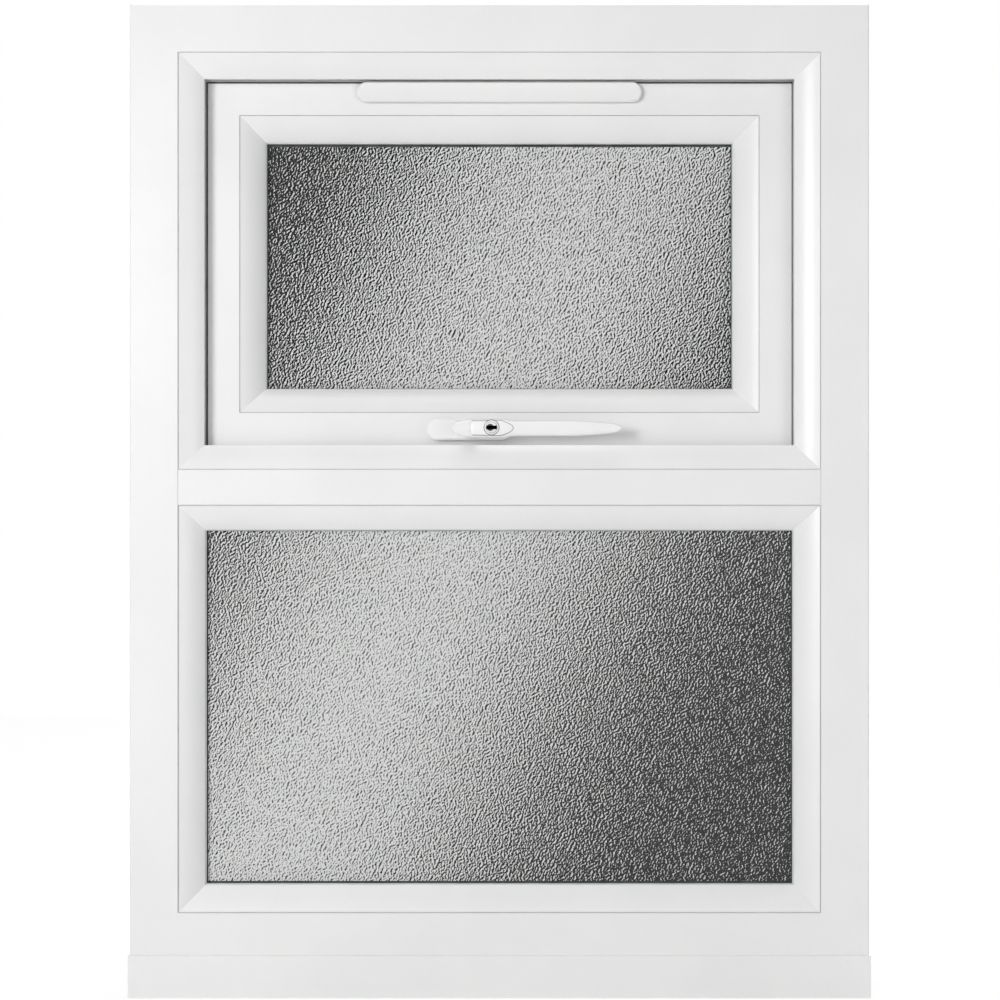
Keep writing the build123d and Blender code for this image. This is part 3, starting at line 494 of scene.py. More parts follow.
@dataclass(frozen=True)
class ClearGlass:
    """Float glass, greenish at the edge, with a faint film of dust."""

    name: str = "clear_glass"
    tint: Colour = (0.74, 0.83, 0.8)
    dust: Colour = (0.9, 0.92, 0.91)
    film: float = 60 * MM
    film_range: tuple[float, float] = (0.3, 0.8)
    film_share: float = 0.06
    see_through: float = 0.16
    gloss: float = 0.01
    gloss_drift: float = 0.05
    polish_gloss: float = 0.02

    def build(self) -> bpy.types.Material:
        """Make the material.

        Returns:
            The finished material.
        """
        shader = Shader(bpy.data.materials.new(self.name))
        film = shader.noise(shader.place(), self.film, detail=4.0)
        haze = film.smooth(*self.film_range) * self.film_share
        return shader.surface(Base_Color=shader.mix(film, self.tint, self.dust),
                              Roughness=film * self.gloss_drift + self.gloss,
                              Alpha=haze + self.see_through,
                              Coat_Weight=1.0, Coat_Roughness=self.polish_gloss)


@dataclass(frozen=True)
class Rubber:
    """Dull rubber with a fine bloom, for gaskets; in other colours it also makes the bead lip's
    painted reflection and the painted shade in joints, around the sash and the pad, and in the
    keyhole.
    """

    name: str = "black_rubber"
    dark: Colour = (0.018, 0.019, 0.019)
    bloom: Colour = (0.06, 0.063, 0.062)
    shine: float = 0.5
    patch: float = 14 * MM
    patch_range: tuple[float, float] = (0.35, 0.75)
    grain: float = 0.7 * MM
    grain_depth: float = 0.03 * MM
    dullness: float = 0.5
    dullness_drift: float = 0.25

    def build(self) -> bpy.types.Material:
        """Make the material.

        Returns:
            The finished material.
        """
        shader = Shader(bpy.data.materials.new(self.name))
        point = shader.place()
        bloom = shader.noise(point, self.patch, detail=4.0)
        grain = shader.noise(point, self.grain)
        colour = shader.mix(bloom.smooth(*self.patch_range), self.dark, self.bloom)
        return shader.surface(Base_Color=colour, Specular_IOR_Level=self.shine,
                              Roughness=bloom * self.dullness_drift + self.dullness,
                              Normal=shader.bump(grain, self.grain_depth))


@dataclass(frozen=True)
class Metal:
    """A bare metal with crystals in its coating and fine scratches drawn along it."""

    name: str
    pale: Colour
    deep: Colour
    rough: float
    spangle: float = 5 * MM
    spangle_share: float = 0.6
    spangle_drift: float = 0.12
    scratch: float = 0.5 * MM
    scratch_stretch: tuple[float, float, float] = (0.03, 1.0, 1.0)
    scratch_drift: float = 0.1
    scratch_depth: float = 0.01 * MM

    def build(self) -> bpy.types.Material:
        """Make the material.

        Returns:
            The finished material.
        """
        shader = Shader(bpy.data.materials.new(self.name))
        point = shader.place()
        spangle = shader.node("ShaderNodeTexVoronoi", {}, {"Vector": point, "Scale": 1 / self.spangle},
                              "Color")
        patch = shader.node("ShaderNodeSeparateColor", {}, {0: spangle})
        stretched = shader.vector("MULTIPLY", point, self.scratch_stretch)
        scratch = shader.noise(stretched, self.scratch, detail=3.0)
        blend = patch * self.spangle_share + scratch * (1 - self.spangle_share)
        dulling = patch * self.spangle_drift + scratch * self.scratch_drift
        return shader.surface(Base_Color=shader.mix(blend, self.deep, self.pale), Metallic=1.0,
                              Roughness=dulling + self.rough,
                              Normal=shader.bump(scratch, self.scratch_depth))


@dataclass(frozen=True)
class PackerPlastic:
    """Moulded packers in one strong colour, with a pebbled skin."""

    name: str = "packer_plastic"
    pale: Colour = (0.08, 0.22, 0.5)
    deep: Colour = (0.05, 0.16, 0.4)
    pebble: float = 1.6 * MM
    pebble_depth: float = 0.06 * MM
    dullness: float = 0.4
    dullness_drift: float = 0.2

    def build(self) -> bpy.types.Material:
        """Make the material.

        Returns:
            The finished material.
        """
        shader = Shader(bpy.data.materials.new(self.name))
        pebble = shader.noise(shader.place(), self.pebble)
        return shader.surface(Base_Color=shader.mix(pebble, self.deep, self.pale),
                              Roughness=pebble * self.dullness_drift + self.dullness,
                              Normal=shader.bump(pebble, self.pebble_depth))


@dataclass(frozen=True)
class Camera:
    """The photograph's view: straight on, from the room."""

    face_y: float = -35 * MM
    distance: float = 1.65
    side: float = 0.5 * MM
    height: float = 410.5 * MM
    lens: float = 71.98
    sensor: float = 36.0

    def build(self) -> None:
        """Create the camera and make it the scene's."""
        data = bpy.data.cameras.new("camera")
        data.lens = self.lens
        data.sensor_width = self.sensor
        camera = bpy.data.objects.new("camera", data)
        camera.location = (self.side, self.face_y - self.distance, self.height)
        camera.rotation_euler = (pi / 2, 0, 0)
        bpy.context.scene.collection.objects.link(camera)
        bpy.context.scene.camera = camera
        LOG.info("camera %.3f m in front of the frame's face", self.distance)


@dataclass(frozen=True)
class SoftLight:
    """One soft box aimed at a point."""

    name: str
    place: tuple[float, float, float]
    size: float
    power: float
    target: tuple[float, float, float] = (0.0, 0.0, 0.4)

    def build(self) -> None:
        """Hang the light."""
        data = bpy.data.lights.new(self.name, "AREA")
        data.shape = "DISK"
        data.size = self.size
        data.energy = self.power
        light = bpy.data.objects.new(self.name, data)
        light.location = self.place
        aim = Vector(self.target) - Vector(self.place)
        light.rotation_euler = aim.to_track_quat("-Z", "Y").to_euler()
        bpy.context.scene.collection.objects.link(light)
        LOG.info("light %s of %.0f W", self.name, self.power)


LIGHTS = (SoftLight("key", (-1.45, -2.5, 0.85), 1.0, 41.0),
          SoftLight("fill", (2.0, -2.6, 0.55), 1.6, 14.0),
          SoftLight("top", (0.0, 0.2, 3.0), 2.2, 45.0),
          SoftLight("back", (1.2, 2.8, 2.0), 1.6, 35.0))


@dataclass(frozen=True)
class Backdrop:
    """White behind the object, and a dimmer sky that lights it from all round."""

    sky: float = 0.24

    def build(self) -> None:
        """Make the world."""
        shader = Shader(bpy.data.worlds.new("backdrop"))
        ray = {name: shader.node("ShaderNodeLightPath", output=f"Is {name} Ray")
               for name in ("Camera", "Glossy", "Transmission")}
        seen = ray["Camera"].most(ray["Glossy"]).most(ray["Transmission"])
        strength = seen * (1.0 - self.sky) + self.sky
        light = shader.node("ShaderNodeBackground", {}, {"Color": (1, 1, 1, 1), "Strength": strength})
        bpy.context.scene.world = shader.close(light, "ShaderNodeOutputWorld")
        bpy.context.scene.view_settings.view_transform = "Standard"


@dataclass(frozen=True)
class Floor:
    """A plain pale floor that reads as white where no shadow falls."""

    size: float = 4.2
    pale: Colour = (0.9, 0.9, 0.9)
    dusty: Colour = (0.873, 0.873, 0.873)
    dust: float = 0.4
    glow: float = 1.05
    wash: float = 0.85

    def build(self, level: float) -> None:
        """Lay the floor.

        Args:
            level: The height of its surface.
        """
        shader = Shader(bpy.data.materials.new("floor"))
        colour = shader.mix(shader.noise(shader.place(), self.dust), self.pale, self.dusty)
        lit = shader.node("ShaderNodeBsdfDiffuse", {}, {"Color": colour})
        glow = shader.node("ShaderNodeEmission", {}, {"Color": (1, 1, 1, 1),
                                                      "Strength": self.glow})
        seen = shader.node("ShaderNodeLightPath", output="Is Camera Ray") * self.wash
        material = shader.close(shader.node("ShaderNodeMixShader", {}, {0: seen, 1: lit, 2: glow}))
        half = self.size / 2
        corners = [(-half, -half, level), (half, -half, level), (half, half, level),
                   (-half, half, level)]
        floor = mesh_object("floor", corners, [(0, 1, 2, 3)])
        floor.data.materials.append(material)
        floor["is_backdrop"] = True


def link(name: str, mesh: bpy.types.Mesh) -> bpy.types.Object:
    """Put a mesh into the scene.

    Args:
        name: The object's name.
        mesh: Its mesh.

    Returns:
        The linked object.
    """
    made = bpy.data.objects.new(name, mesh)
    bpy.context.scene.collection.objects.link(made)
    return made


def mesh_object(name: str, points: Iterable, faces: Iterable, soft: bool = False) -> bpy.types.Object:
    """A mesh object whose place is in its points.

    Args:
        name: The object's name.
        points: Its vertices.
        faces: Its faces as vertex numbers.
        soft: Whether its faces shade smoothly.

    Returns:
        The linked object.
    """
    mesh = bpy.data.meshes.new(name)
    mesh.from_pydata([tuple(point) for point in points], [], list(faces))
    mesh.validate()
    if soft:
        mesh.shade_smooth()
    else:
        mesh.shade_flat()
    return link(name, mesh)


def skin(rows: int, count: int) -> list[tuple[int, ...]]:
    """The faces of a closed skin over rings of points, with a cap at both ends.

    Args:
        rows: The number of rings.
        count: The number of points in each.

    Returns:
        The faces as vertex numbers.
    """
    faces = [(row * count + i, row * count + (i + 1) % count, (row + 1) * count + (i + 1) % count,
              (row + 1) * count + i) for row in range(rows - 1) for i in range(count)]
    last = (rows - 1) * count
    return faces + [tuple(reversed(range(count))), tuple(range(last, last + count))]


def loft(name: str, rings: list[list[Vector]]) -> bpy.types.Object:
    """A closed skin over rings of points, capped at both ends.

    Args:
        name: The object's name.
        rings: Rings with the same number of points each.

    Returns:
        The linked object.
    """
    points = [point for ring in rings for point in ring]
    return mesh_object(name, points, skin(len(rings), len(rings[0])), soft=True)


def lathe(profile: Sequence[tuple[float, float]], sides: int = 24) -> bpy.types.Mesh:
    """A turned mesh about +Z.

    Args:
        profile: Radius and height along its outline, bottom first.
        sides: The number of flats.

    Returns:
        The mesh, closed at both ends.
    """
    mesh = bpy.data.meshes.new("turned")
    points = [(radius * cos(2 * pi * i / sides), radius * sin(2 * pi * i / sides), height)
              for radius, height in profile for i in range(sides)]
    mesh.from_pydata(points, [], skin(len(profile), sides))
    mesh.validate()
    return mesh


def cut(mesh: bpy.types.Mesh, cutter: bpy.types.Mesh) -> bpy.types.Mesh:
    """One mesh less another.

    Args:
        mesh: What is cut.
        cutter: What cuts it.

    Returns:
        The cut mesh.
    """
    whole, tool = link("whole", mesh), link("tool", cutter)
    step = whole.modifiers.new("cut", "BOOLEAN")
    step.object = tool
    step.solver = "EXACT"
    graph = bpy.context.evaluated_depsgraph_get()
    result = bpy.data.meshes.new_from_object(whole.evaluated_get(graph))
    for made in (whole, tool):
        bpy.data.objects.remove(made)
    return result


def box_mesh(low: Vector, high: Vector) -> bpy.types.Mesh:
    """A box.

    Args:
        low: Its lowest corner.
        high: Its highest corner.

    Returns:
        The mesh.
    """
    work = bmesh.new()
    shape = Matrix.Translation((low + high) / 2) @ Matrix.Diagonal((*(high - low), 1.0))
    bmesh.ops.create_cube(work, size=1.0, matrix=shape)
    mesh = bpy.data.meshes.new("box")
    work.to_mesh(mesh)
    work.free()
    return mesh


@dataclass(frozen=True)
class Widths:
    """The widths of a band's four sides."""

    left: float
    right: float
    bottom: float
    top: float

    @classmethod
    def even(cls, width: float) -> "Widths":
        """The same width all round.

        Args:
            width: The width.

        Returns:
            The four widths.
        """
        return cls(width, width, width, width)

    def inside(self, box: Rectangle, share: float = 1.0) -> Rectangle:
        """A rectangle set in by these widths.

        Args:
            box: Lowest and highest X, then lowest and highest Z.
            share: How much of the widths to use.

        Returns:
            The smaller rectangle.
        """
        x0, x1, z0, z1 = box
        return (x0 + share * self.left, x1 - share * self.right, z0 + share * self.bottom,
                z1 - share * self.top)


def rim(name: str, outer: Rectangle, widths: Widths, near: float, far: float) -> bpy.types.Object:
    """A thin rectangular band that faces the room.

    Args:
        name: The object's name.
        outer: Its lowest and highest X, then its lowest and highest Z.
        widths: The band's widths, inwards.
        near: The depth of its front.
        far: The depth of its back.

    Returns:
        The linked object.
    """
    points = []
    for depth, share in ((near, 0.0), (near, 1.0), (far, 1.0), (far, 0.0)):
        x0, x1, z0, z1 = widths.inside(outer, share)
        points += [(x0, depth, z0), (x1, depth, z0), (x1, depth, z1), (x0, depth, z1)]
    corners = [(i, (i + 1) % 4) for i in range(4)]
    faces = [(4 * row + i, 4 * row + j, 4 * after + j, 4 * after + i)
             for row, after in corners for i, j in corners]
    return mesh_object(name, points, faces)


def plate(name: str, outline: Outline, near: float, far: float,
          edge: float = 0.0) -> bpy.types.Object:
    """A flat plate that faces the room, with its front edge eased.

    Args:
        name: The object's name.
        outline: X and Z around it.
        near: The depth of its front.
        far: The depth of its back.
        edge: The width of the easing.

    Returns:
        The linked object.
    """
    work = bmesh.new()
    front = work.faces.new([work.verts.new((x, near, z)) for x, z in outline])
    back = bmesh.ops.extrude_face_region(work, geom=[front])
    moved = [part for part in back["geom"] if isinstance(part, bmesh.types.BMVert)]
    bmesh.ops.translate(work, vec=(0, far - near, 0), verts=moved)
    bmesh.ops.recalc_face_normals(work, faces=work.faces)
    if edge:
        rim_edges = [part for part in work.edges
                     if all(abs(vertex.co.y - near) < MM / 100 for vertex in part.verts)]
        bmesh.ops.bevel(work, geom=rim_edges, offset=edge, segments=3, profile=0.5,
                        affect="EDGES")
    mesh = bpy.data.meshes.new(name)
    work.to_mesh(mesh)
    work.free()
    mesh.shade_smooth()
    mesh.set_sharp_from_angle(angle=radians(50))
    return link(name, mesh)


def circle(x: float, z: float, radius: float, sides: int = 48) -> Outline:
    """Points around a circle that faces the room.

    Args:
        x: The centre's X.
        z: The centre's Z.
        radius: The radius.
        sides: The number of points.

    Returns:
        X and Z of each point.
    """
    return [(x + radius * cos(2 * pi * i / sides), z + radius * sin(2 * pi * i / sides))
            for i in range(sides)]


def copies(name: str, mesh: bpy.types.Mesh, places: Iterable[Place]) -> bpy.types.Object:
    """Copies of a mesh, each at a place and facing a way, in one object.

    Args:
        name: The object's name.
        mesh: The mesh, facing +Z.
        places: The place and the outward direction of each.

    Returns:
        The linked object.
    """
    work = bmesh.new()
    for place, outward in places:
        before = set(work.verts)
        work.from_mesh(mesh)
        turn = outward.to_track_quat("Z", "Y").to_matrix().to_4x4()
        fresh = [vertex for vertex in work.verts if vertex not in before]
        bmesh.ops.transform(work, matrix=Matrix.Translation(place) @ turn, verts=fresh)
    joined = bpy.data.meshes.new(name)
    work.to_mesh(joined)
    work.free()
    return link(name, joined)


@dataclass(frozen=True)
class Screw:
    """A countersunk head with a cross recess."""

    radius: float = 3.6 * MM
    rise: float = 0.5 * MM
    recess: float = 1.4 * MM
    slot_length: float = 3.8 * MM
    slot_width: float = 0.9 * MM

    def mesh(self) -> bpy.types.Mesh:
        """Turn the head and cut its cross.

        Returns:
            The mesh, facing +Z with its seat at zero.
        """
        head = lathe([(0.7 * self.radius, -self.recess), (self.radius, 0.0),
                      (self.radius, 0.4 * self.rise), (0.75 * self.radius, 0.85 * self.rise),
                      (0.35 * self.radius, self.rise)])
        long_half, half = self.slot_length / 2, self.slot_width / 2
        floor = -0.6 * self.recess
        for a, b in ((long_half, half), (half, long_half)):
            head = cut(head, box_mesh(Vector((-a, -b, floor)), Vector((a, b, 2 * self.rise))))
        return head


@dataclass(frozen=True)
class JointLine:
    """A dark strip of painted shade between a bead and the profile it clips into."""

    name: str
    beads: tuple[str, ...]
    width: float
    foot: float = 4.8 * MM
    near: float = 0.2 * MM
    far: float = 0.48 * MM

    def outer(self) -> Rectangle:
        """The rectangle that the beads fill.

        Returns:
            Lowest and highest X, then lowest and highest Z.
        """
        boxes = [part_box(node) for node in self.beads]
        low = Vector(min(box[0][i] for box in boxes) for i in range(3))
        high = Vector(max(box[1][i] for box in boxes) for i in range(3))
        return (low.x + self.foot, high.x - self.foot, low.z + self.foot, high.z - self.foot)

    def build(self, face_y: float) -> bpy.types.Object:
        """Lay the line.

        Args:
            face_y: The depth of the profile's face.

        Returns:
            The piece.
        """
        return rim(self.name, self.outer(), Widths.even(self.width), face_y + self.near,
                   face_y + self.far)


@dataclass(frozen=True)
class PaneEdge:
    """Where a bead meets its pane: the bead's soft lip, grey-green as a painted reflection of the
    glass edge, and the dark gasket behind it, widened on some sides as painted shade along the bead.
    """

    name: str
    joint_width: float
    # The gasket's widths, grown on some sides as painted shade along the bead.
    gasket_and_shade: Widths
    bead_width: float = 20.0 * MM
    lip: float = 0.9 * MM
    lip_depth: float = 5.0 * MM
    lip_back: float = 1.5 * MM
    seal_depth: float = 0.3 * MM

    def line(self) -> JointLine:
        """The strip of painted shade in the joint around the beads.

        Returns:
            The joint.
        """
        beads = tuple(f"{self.name}_bead_{side}" for side in ("left", "right", "top", "bottom"))
        return JointLine(f"{self.name}_bead_joint", beads, self.joint_width)

    def glass_y(self) -> float:
        """The depth of the pane's face."""
        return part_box(f"{self.name}_inner_pane")[0].y

    def nose(self) -> Rectangle:
        """The rectangle inside the beads.

        Returns:
            Lowest and highest X, then lowest and highest Z.
        """
        return Widths.even(self.bead_width).inside(self.line().outer())

    def lip_piece(self) -> bpy.types.Object:
        """The bead's pale lip, grey-green as a painted reflection of the glass edge.

        Returns:
            The piece.
        """
        glass_y = self.glass_y()
        return rim(f"{self.name}_bead_lip_glint", self.nose(), Widths.even(self.lip),
                   glass_y - self.lip_depth, glass_y - self.lip_back)

    def seal_piece(self) -> bpy.types.Object:
        """The dark gasket on the glass, widened on some sides as painted shade along the bead.

        Returns:
            The piece.
        """
        edge = Widths(*(side + self.lip for side in (self.gasket_and_shade.left, self.gasket_and_shade.right,
                                                     self.gasket_and_shade.bottom, self.gasket_and_shade.top)))
        glass_y = self.glass_y()
        return rim(f"{self.name}_pane_gasket_and_shade", self.nose(), edge, glass_y - self.seal_depth, glass_y)


@dataclass(frozen=True)
class Finishes:
    """Every finish: one for each slot, and three for fine details: the painted shade of the joints,
    the bead lip's painted reflection, and the keyhole's painted shade.
    """

    slots: dict[Slot, bpy.types.Material]
    crevice_shade: bpy.types.Material
    lip: bpy.types.Material
    keyhole: bpy.types.Material


@dataclass(frozen=True)
class Assembly:
    """A sub-assembly: it gives its solids their finish and adds what they leave out."""

    finishes: Finishes
    body: Body = Body.FRAME

    def coat(self, slot: Slot, *nodes: str) -> None:
        """Give solids the finish of a slot.

        Args:
            slot: The slot.
            nodes: The solids' names.
        """
        for node in nodes:
            self.paint(node, self.finishes.slots[slot])

    def paint(self, node: str, material: bpy.types.Material) -> None:
        """Give a solid a finish of its own.

        Args:
            node: The solid's name.
            material: The finish.
        """
        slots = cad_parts[node].data.materials
        slots.clear()
        slots.append(material)
        LOG.info("solid %s in %s", node, material.name)

    def add(self, piece: bpy.types.Object, slot: Slot, body: Optional[Body] = None,
            finish: Optional[bpy.types.Material] = None) -> None:
        """Give a new piece its finish and its body.

        Args:
            piece: The piece.
            slot: The slot whose finish it takes when no other finish is given.
            body: The body it rides on, if not the assembly's own.
            finish: Its finish, if not the slot's own.
        """
        piece.data.materials.clear()
        piece.data.materials.append(finish or self.finishes.slots[slot])
        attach(piece, (body or self.body).value)
        LOG.info("piece %s: %d faces", piece.name, len(piece.data.polygons))

    def glaze(self, edge: PaneEdge, obscure: ObscureGlass, face_y: float) -> None:
        """Dress a sealed unit that sits in beads, and add the joint, lip and gasket pieces around it.

        Args:
            edge: The edge of its inner pane.
            obscure: The glass of that pane.
            face_y: The depth of the face that its beads clip into.
        """
        self.paint(f"{edge.name}_inner_pane", obscure.build())
        self.coat(Slot.CLEAR, f"{edge.name}_outer_pane")
        self.coat(Slot.SPACER, f"{edge.name}_spacer_bar")
        self.coat(Slot.PACKER, f"{edge.name}_glazing_packers")
        self.coat(Slot.RUBBER, f"{edge.name}_gaskets")
        # A strip of painted shade in the joint around the beads.
        self.add(edge.line().build(face_y), Slot.RUBBER, finish=self.finishes.crevice_shade)
        # The bead's lip with its painted reflection, and the gasket widened by painted shade.
        self.add(edge.lip_piece(), Slot.UPVC, finish=self.finishes.lip)
        self.add(edge.seal_piece(), Slot.RUBBER)

    def add_screws(self, name: str, places: list[Place], body: Optional[Body] = None) -> None:
        """Add screw heads.

        Args:
            name: The piece's name.
            places: Where each head sits, and which way it faces.
            body: The body they ride on, if not the assembly's own.
        """
        self.add(copies(name, Screw().mesh(), places), Slot.STEEL, body)


@dataclass(frozen=True)
class OuterFrame(Assembly):
    """The frame, its transom, the clip-in stops and the sill."""

    upvc: tuple[str, ...] = (
        "frame_head", "frame_left_jamb", "frame_right_jamb", "frame_bottom_rail", "transom",
        "opener_stops", "fixed_outer_stops", "fixed_bead_top", "fixed_bead_bottom",
        "fixed_bead_left", "fixed_bead_right", "sill", "sill_end_caps", "drain_caps")
    stop_joint: JointLine = JointLine("opener_stop_joint", ("opener_stops",), 0.14 * MM)
    stop_width: float = 20.0 * MM
    # The widths of a black band of painted shade where the stops meet the sash, widest at the left and
    # top.
    gap: Widths = Widths(left=1.2 * MM, right=0.5 * MM, bottom=0.15 * MM, top=1.1 * MM)
    gap_depth: float = 21.9 * MM
    gap_thickness: float = 0.9 * MM

    def build(self) -> None:
        """Dress the sub-assembly."""
        self.coat(Slot.UPVC, *self.upvc)
        self.coat(Slot.STEEL, "frame_steel_bars")
        self.coat(Slot.RUBBER, "opener_stop_seal")
        face_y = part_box("frame_head")[0].y
        # A dark strip of painted shade along the joint of the opener's stops.
        self.add(self.stop_joint.build(face_y), Slot.RUBBER, finish=self.finishes.crevice_shade)
        nose = Widths.even(self.stop_width).inside(self.stop_joint.outer())
        near = face_y + self.gap_depth
        # Painted shade: a black band where the stops meet the sash face, widest at the left and top
        # where the shade falls.
        self.add(rim("opener_gap_shade", nose, self.gap, near, near + self.gap_thickness),
                 Slot.RUBBER)


@dataclass(frozen=True)
class FixedLight(Assembly):
    """The fixed sealed unit below the transom."""

    # The joint's width, then the gasket's widths, widest at the bottom as painted shade along the
    # bead.
    edge: PaneEdge = PaneEdge("fixed", 0.27 * MM, Widths(left=0.8 * MM, right=0.8 * MM,
                                                         bottom=1.5 * MM, top=0.5 * MM))
    # This pane's band of painted light, and the reach of its painted fleck shade.
    obscure: ObscureGlass = ObscureGlass("fixed_obscure_glass", band_x=-0.12, band_z=0.238,
                                         dark=-0.65, bright=1.4, spread=0.21, floor=0.21)

    def build(self) -> None:
        """Dress the sub-assembly."""
        self.glaze(self.edge, self.obscure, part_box("frame_head")[0].y)


@dataclass(frozen=True)
class OpeningSash(Assembly):
    """The sash with its sealed unit."""

    body: Body = Body.SASH
    upvc: tuple[str, ...] = ("sash_top_rail", "sash_bottom_rail", "sash_left_stile",
                             "sash_right_stile", "sash_bead_top", "sash_bead_bottom",
                             "sash_bead_left", "sash_bead_right")
    # The joint's width, then the gasket's widths, widest at the top as painted shade along the bead.
    edge: PaneEdge = PaneEdge("sash", 0.42 * MM, Widths(left=0.7 * MM, right=0.7 * MM,
                                                        bottom=0.5 * MM, top=2.0 * MM))
    # This pane's band of painted light, and the reach of its painted fleck shade.
    obscure: ObscureGlass = ObscureGlass("sash_obscure_glass", band_x=0.04, band_z=0.61, dark=-1.3,
                                         bright=1.25, spread=0.25, band_lean=0.4)

    def build(self) -> None:
        """Dress the sub-assembly."""
        self.coat(Slot.UPVC, *self.upvc)
        self.coat(Slot.STEEL, "sash_steel_bars")
        self.coat(Slot.RUBBER, "sash_flange_seal")
        self.glaze(self.edge, self.obscure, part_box("sash_top_rail")[0].y)


@dataclass(frozen=True)
class LeverForm:
    """The lever's shape: a full body around the lock, an easing neck and a tapering grip."""

    tail: float = -38.9 * MM
    body_start: float = -12.7 * MM
    body_end: float = 1.0 * MM
    grip_start: float = 13.5 * MM
    taper_start: float = 60.0 * MM
    end_start: float = 93.5 * MM
    tip: float = 100.4 * MM
    middle: float = 469.6 * MM
    body_half: float = 7.8 * MM
    grip_half: float = 6.35 * MM
    least_half: float = 0.2 * MM
    taper: float = 3.0 * MM
    taper_ease: float = 1.4
    front: float = -45.0 * MM
    tip_back: float = 2.0 * MM
    thickness: float = 12.0 * MM
    tip_thickness: float = 8.0 * MM
    scoop_end: float = -22.6 * MM
    scoop_depth: float = 2.6 * MM
    scoop_ease: float = 1.5
    tail_roundness: float = 2.8
    roundness: float = 2.5
    stations: int = 150
    sides: int = 44

    def half(self, x: float) -> float:
        """Half the lever's height at a place along it.

        Args:
            x: The place.

        Returns:
            The half height.
        """
        if x < self.body_start:
            share = (self.body_start - x) / (self.body_start - self.tail)
            left = max(1 - share ** self.tail_roundness, 0.0)
            return self.body_half * left ** (1 / self.tail_roundness)
        if x < self.grip_start:
            share = max((x - self.body_end) / (self.grip_start - self.body_end), 0.0)
            ease = share * share * (3 - 2 * share)
            return self.body_half + (self.grip_half - self.body_half) * ease
        if x < self.taper_start:
            return self.grip_half
        share = (x - self.taper_start) / (self.tip - self.taper_start)
        half = self.grip_half - self.taper * share ** self.taper_ease
        end = max((x - self.end_start) / (self.tip - self.end_start), 0.0)
        return half * sqrt(max(1 - end * end, 0.0))

    def ring(self, x: float) -> list[Vector]:
        """The lever's outline in the plane across it.

        Args:
            x: The place along it.

        Returns:
            Its points.
        """
        along = (x - self.grip_start) / (self.tip - self.grip_start)
        along = min(max(along, 0.0), 1.0)
        front = self.front + self.tip_back * along
        back = front + self.thickness + (self.tip_thickness - self.thickness) * along
        if x < self.scoop_end:
            share = (self.scoop_end - x) / (self.scoop_end - self.tail)
            front += self.scoop_depth * max(1 - share, 0.0) ** self.scoop_ease
        half, deep = max(self.half(x), self.least_half), (back - front) / 2
        angles = [2 * pi * i / self.sides for i in range(self.sides)]
        return [Vector((x, (front + back) / 2 + deep * self.swell(cos(angle)),
                        self.middle + half * self.swell(sin(angle)))) for angle in angles]

    def swell(self, part: float) -> float:
        """Push a circle's cosine or sine out towards a rounded square.

        Args:
            part: The cosine or sine.

        Returns:
            The same on the rounded square.
        """
        return copysign(abs(part) ** (2 / self.roundness), part)

    def build(self) -> bpy.types.Object:
        """Loft the lever.

        Returns:
            The piece.
        """
        middle, reach = (self.tip + self.tail) / 2, (self.tip - self.tail) / 2
        places = [middle - reach * cos(pi * i / self.stations) for i in range(self.stations + 1)]
        lever = loft("sculpted_lever", [self.ring(x) for x in places])
        lever.data.set_sharp_from_angle(angle=radians(48))
        return lever


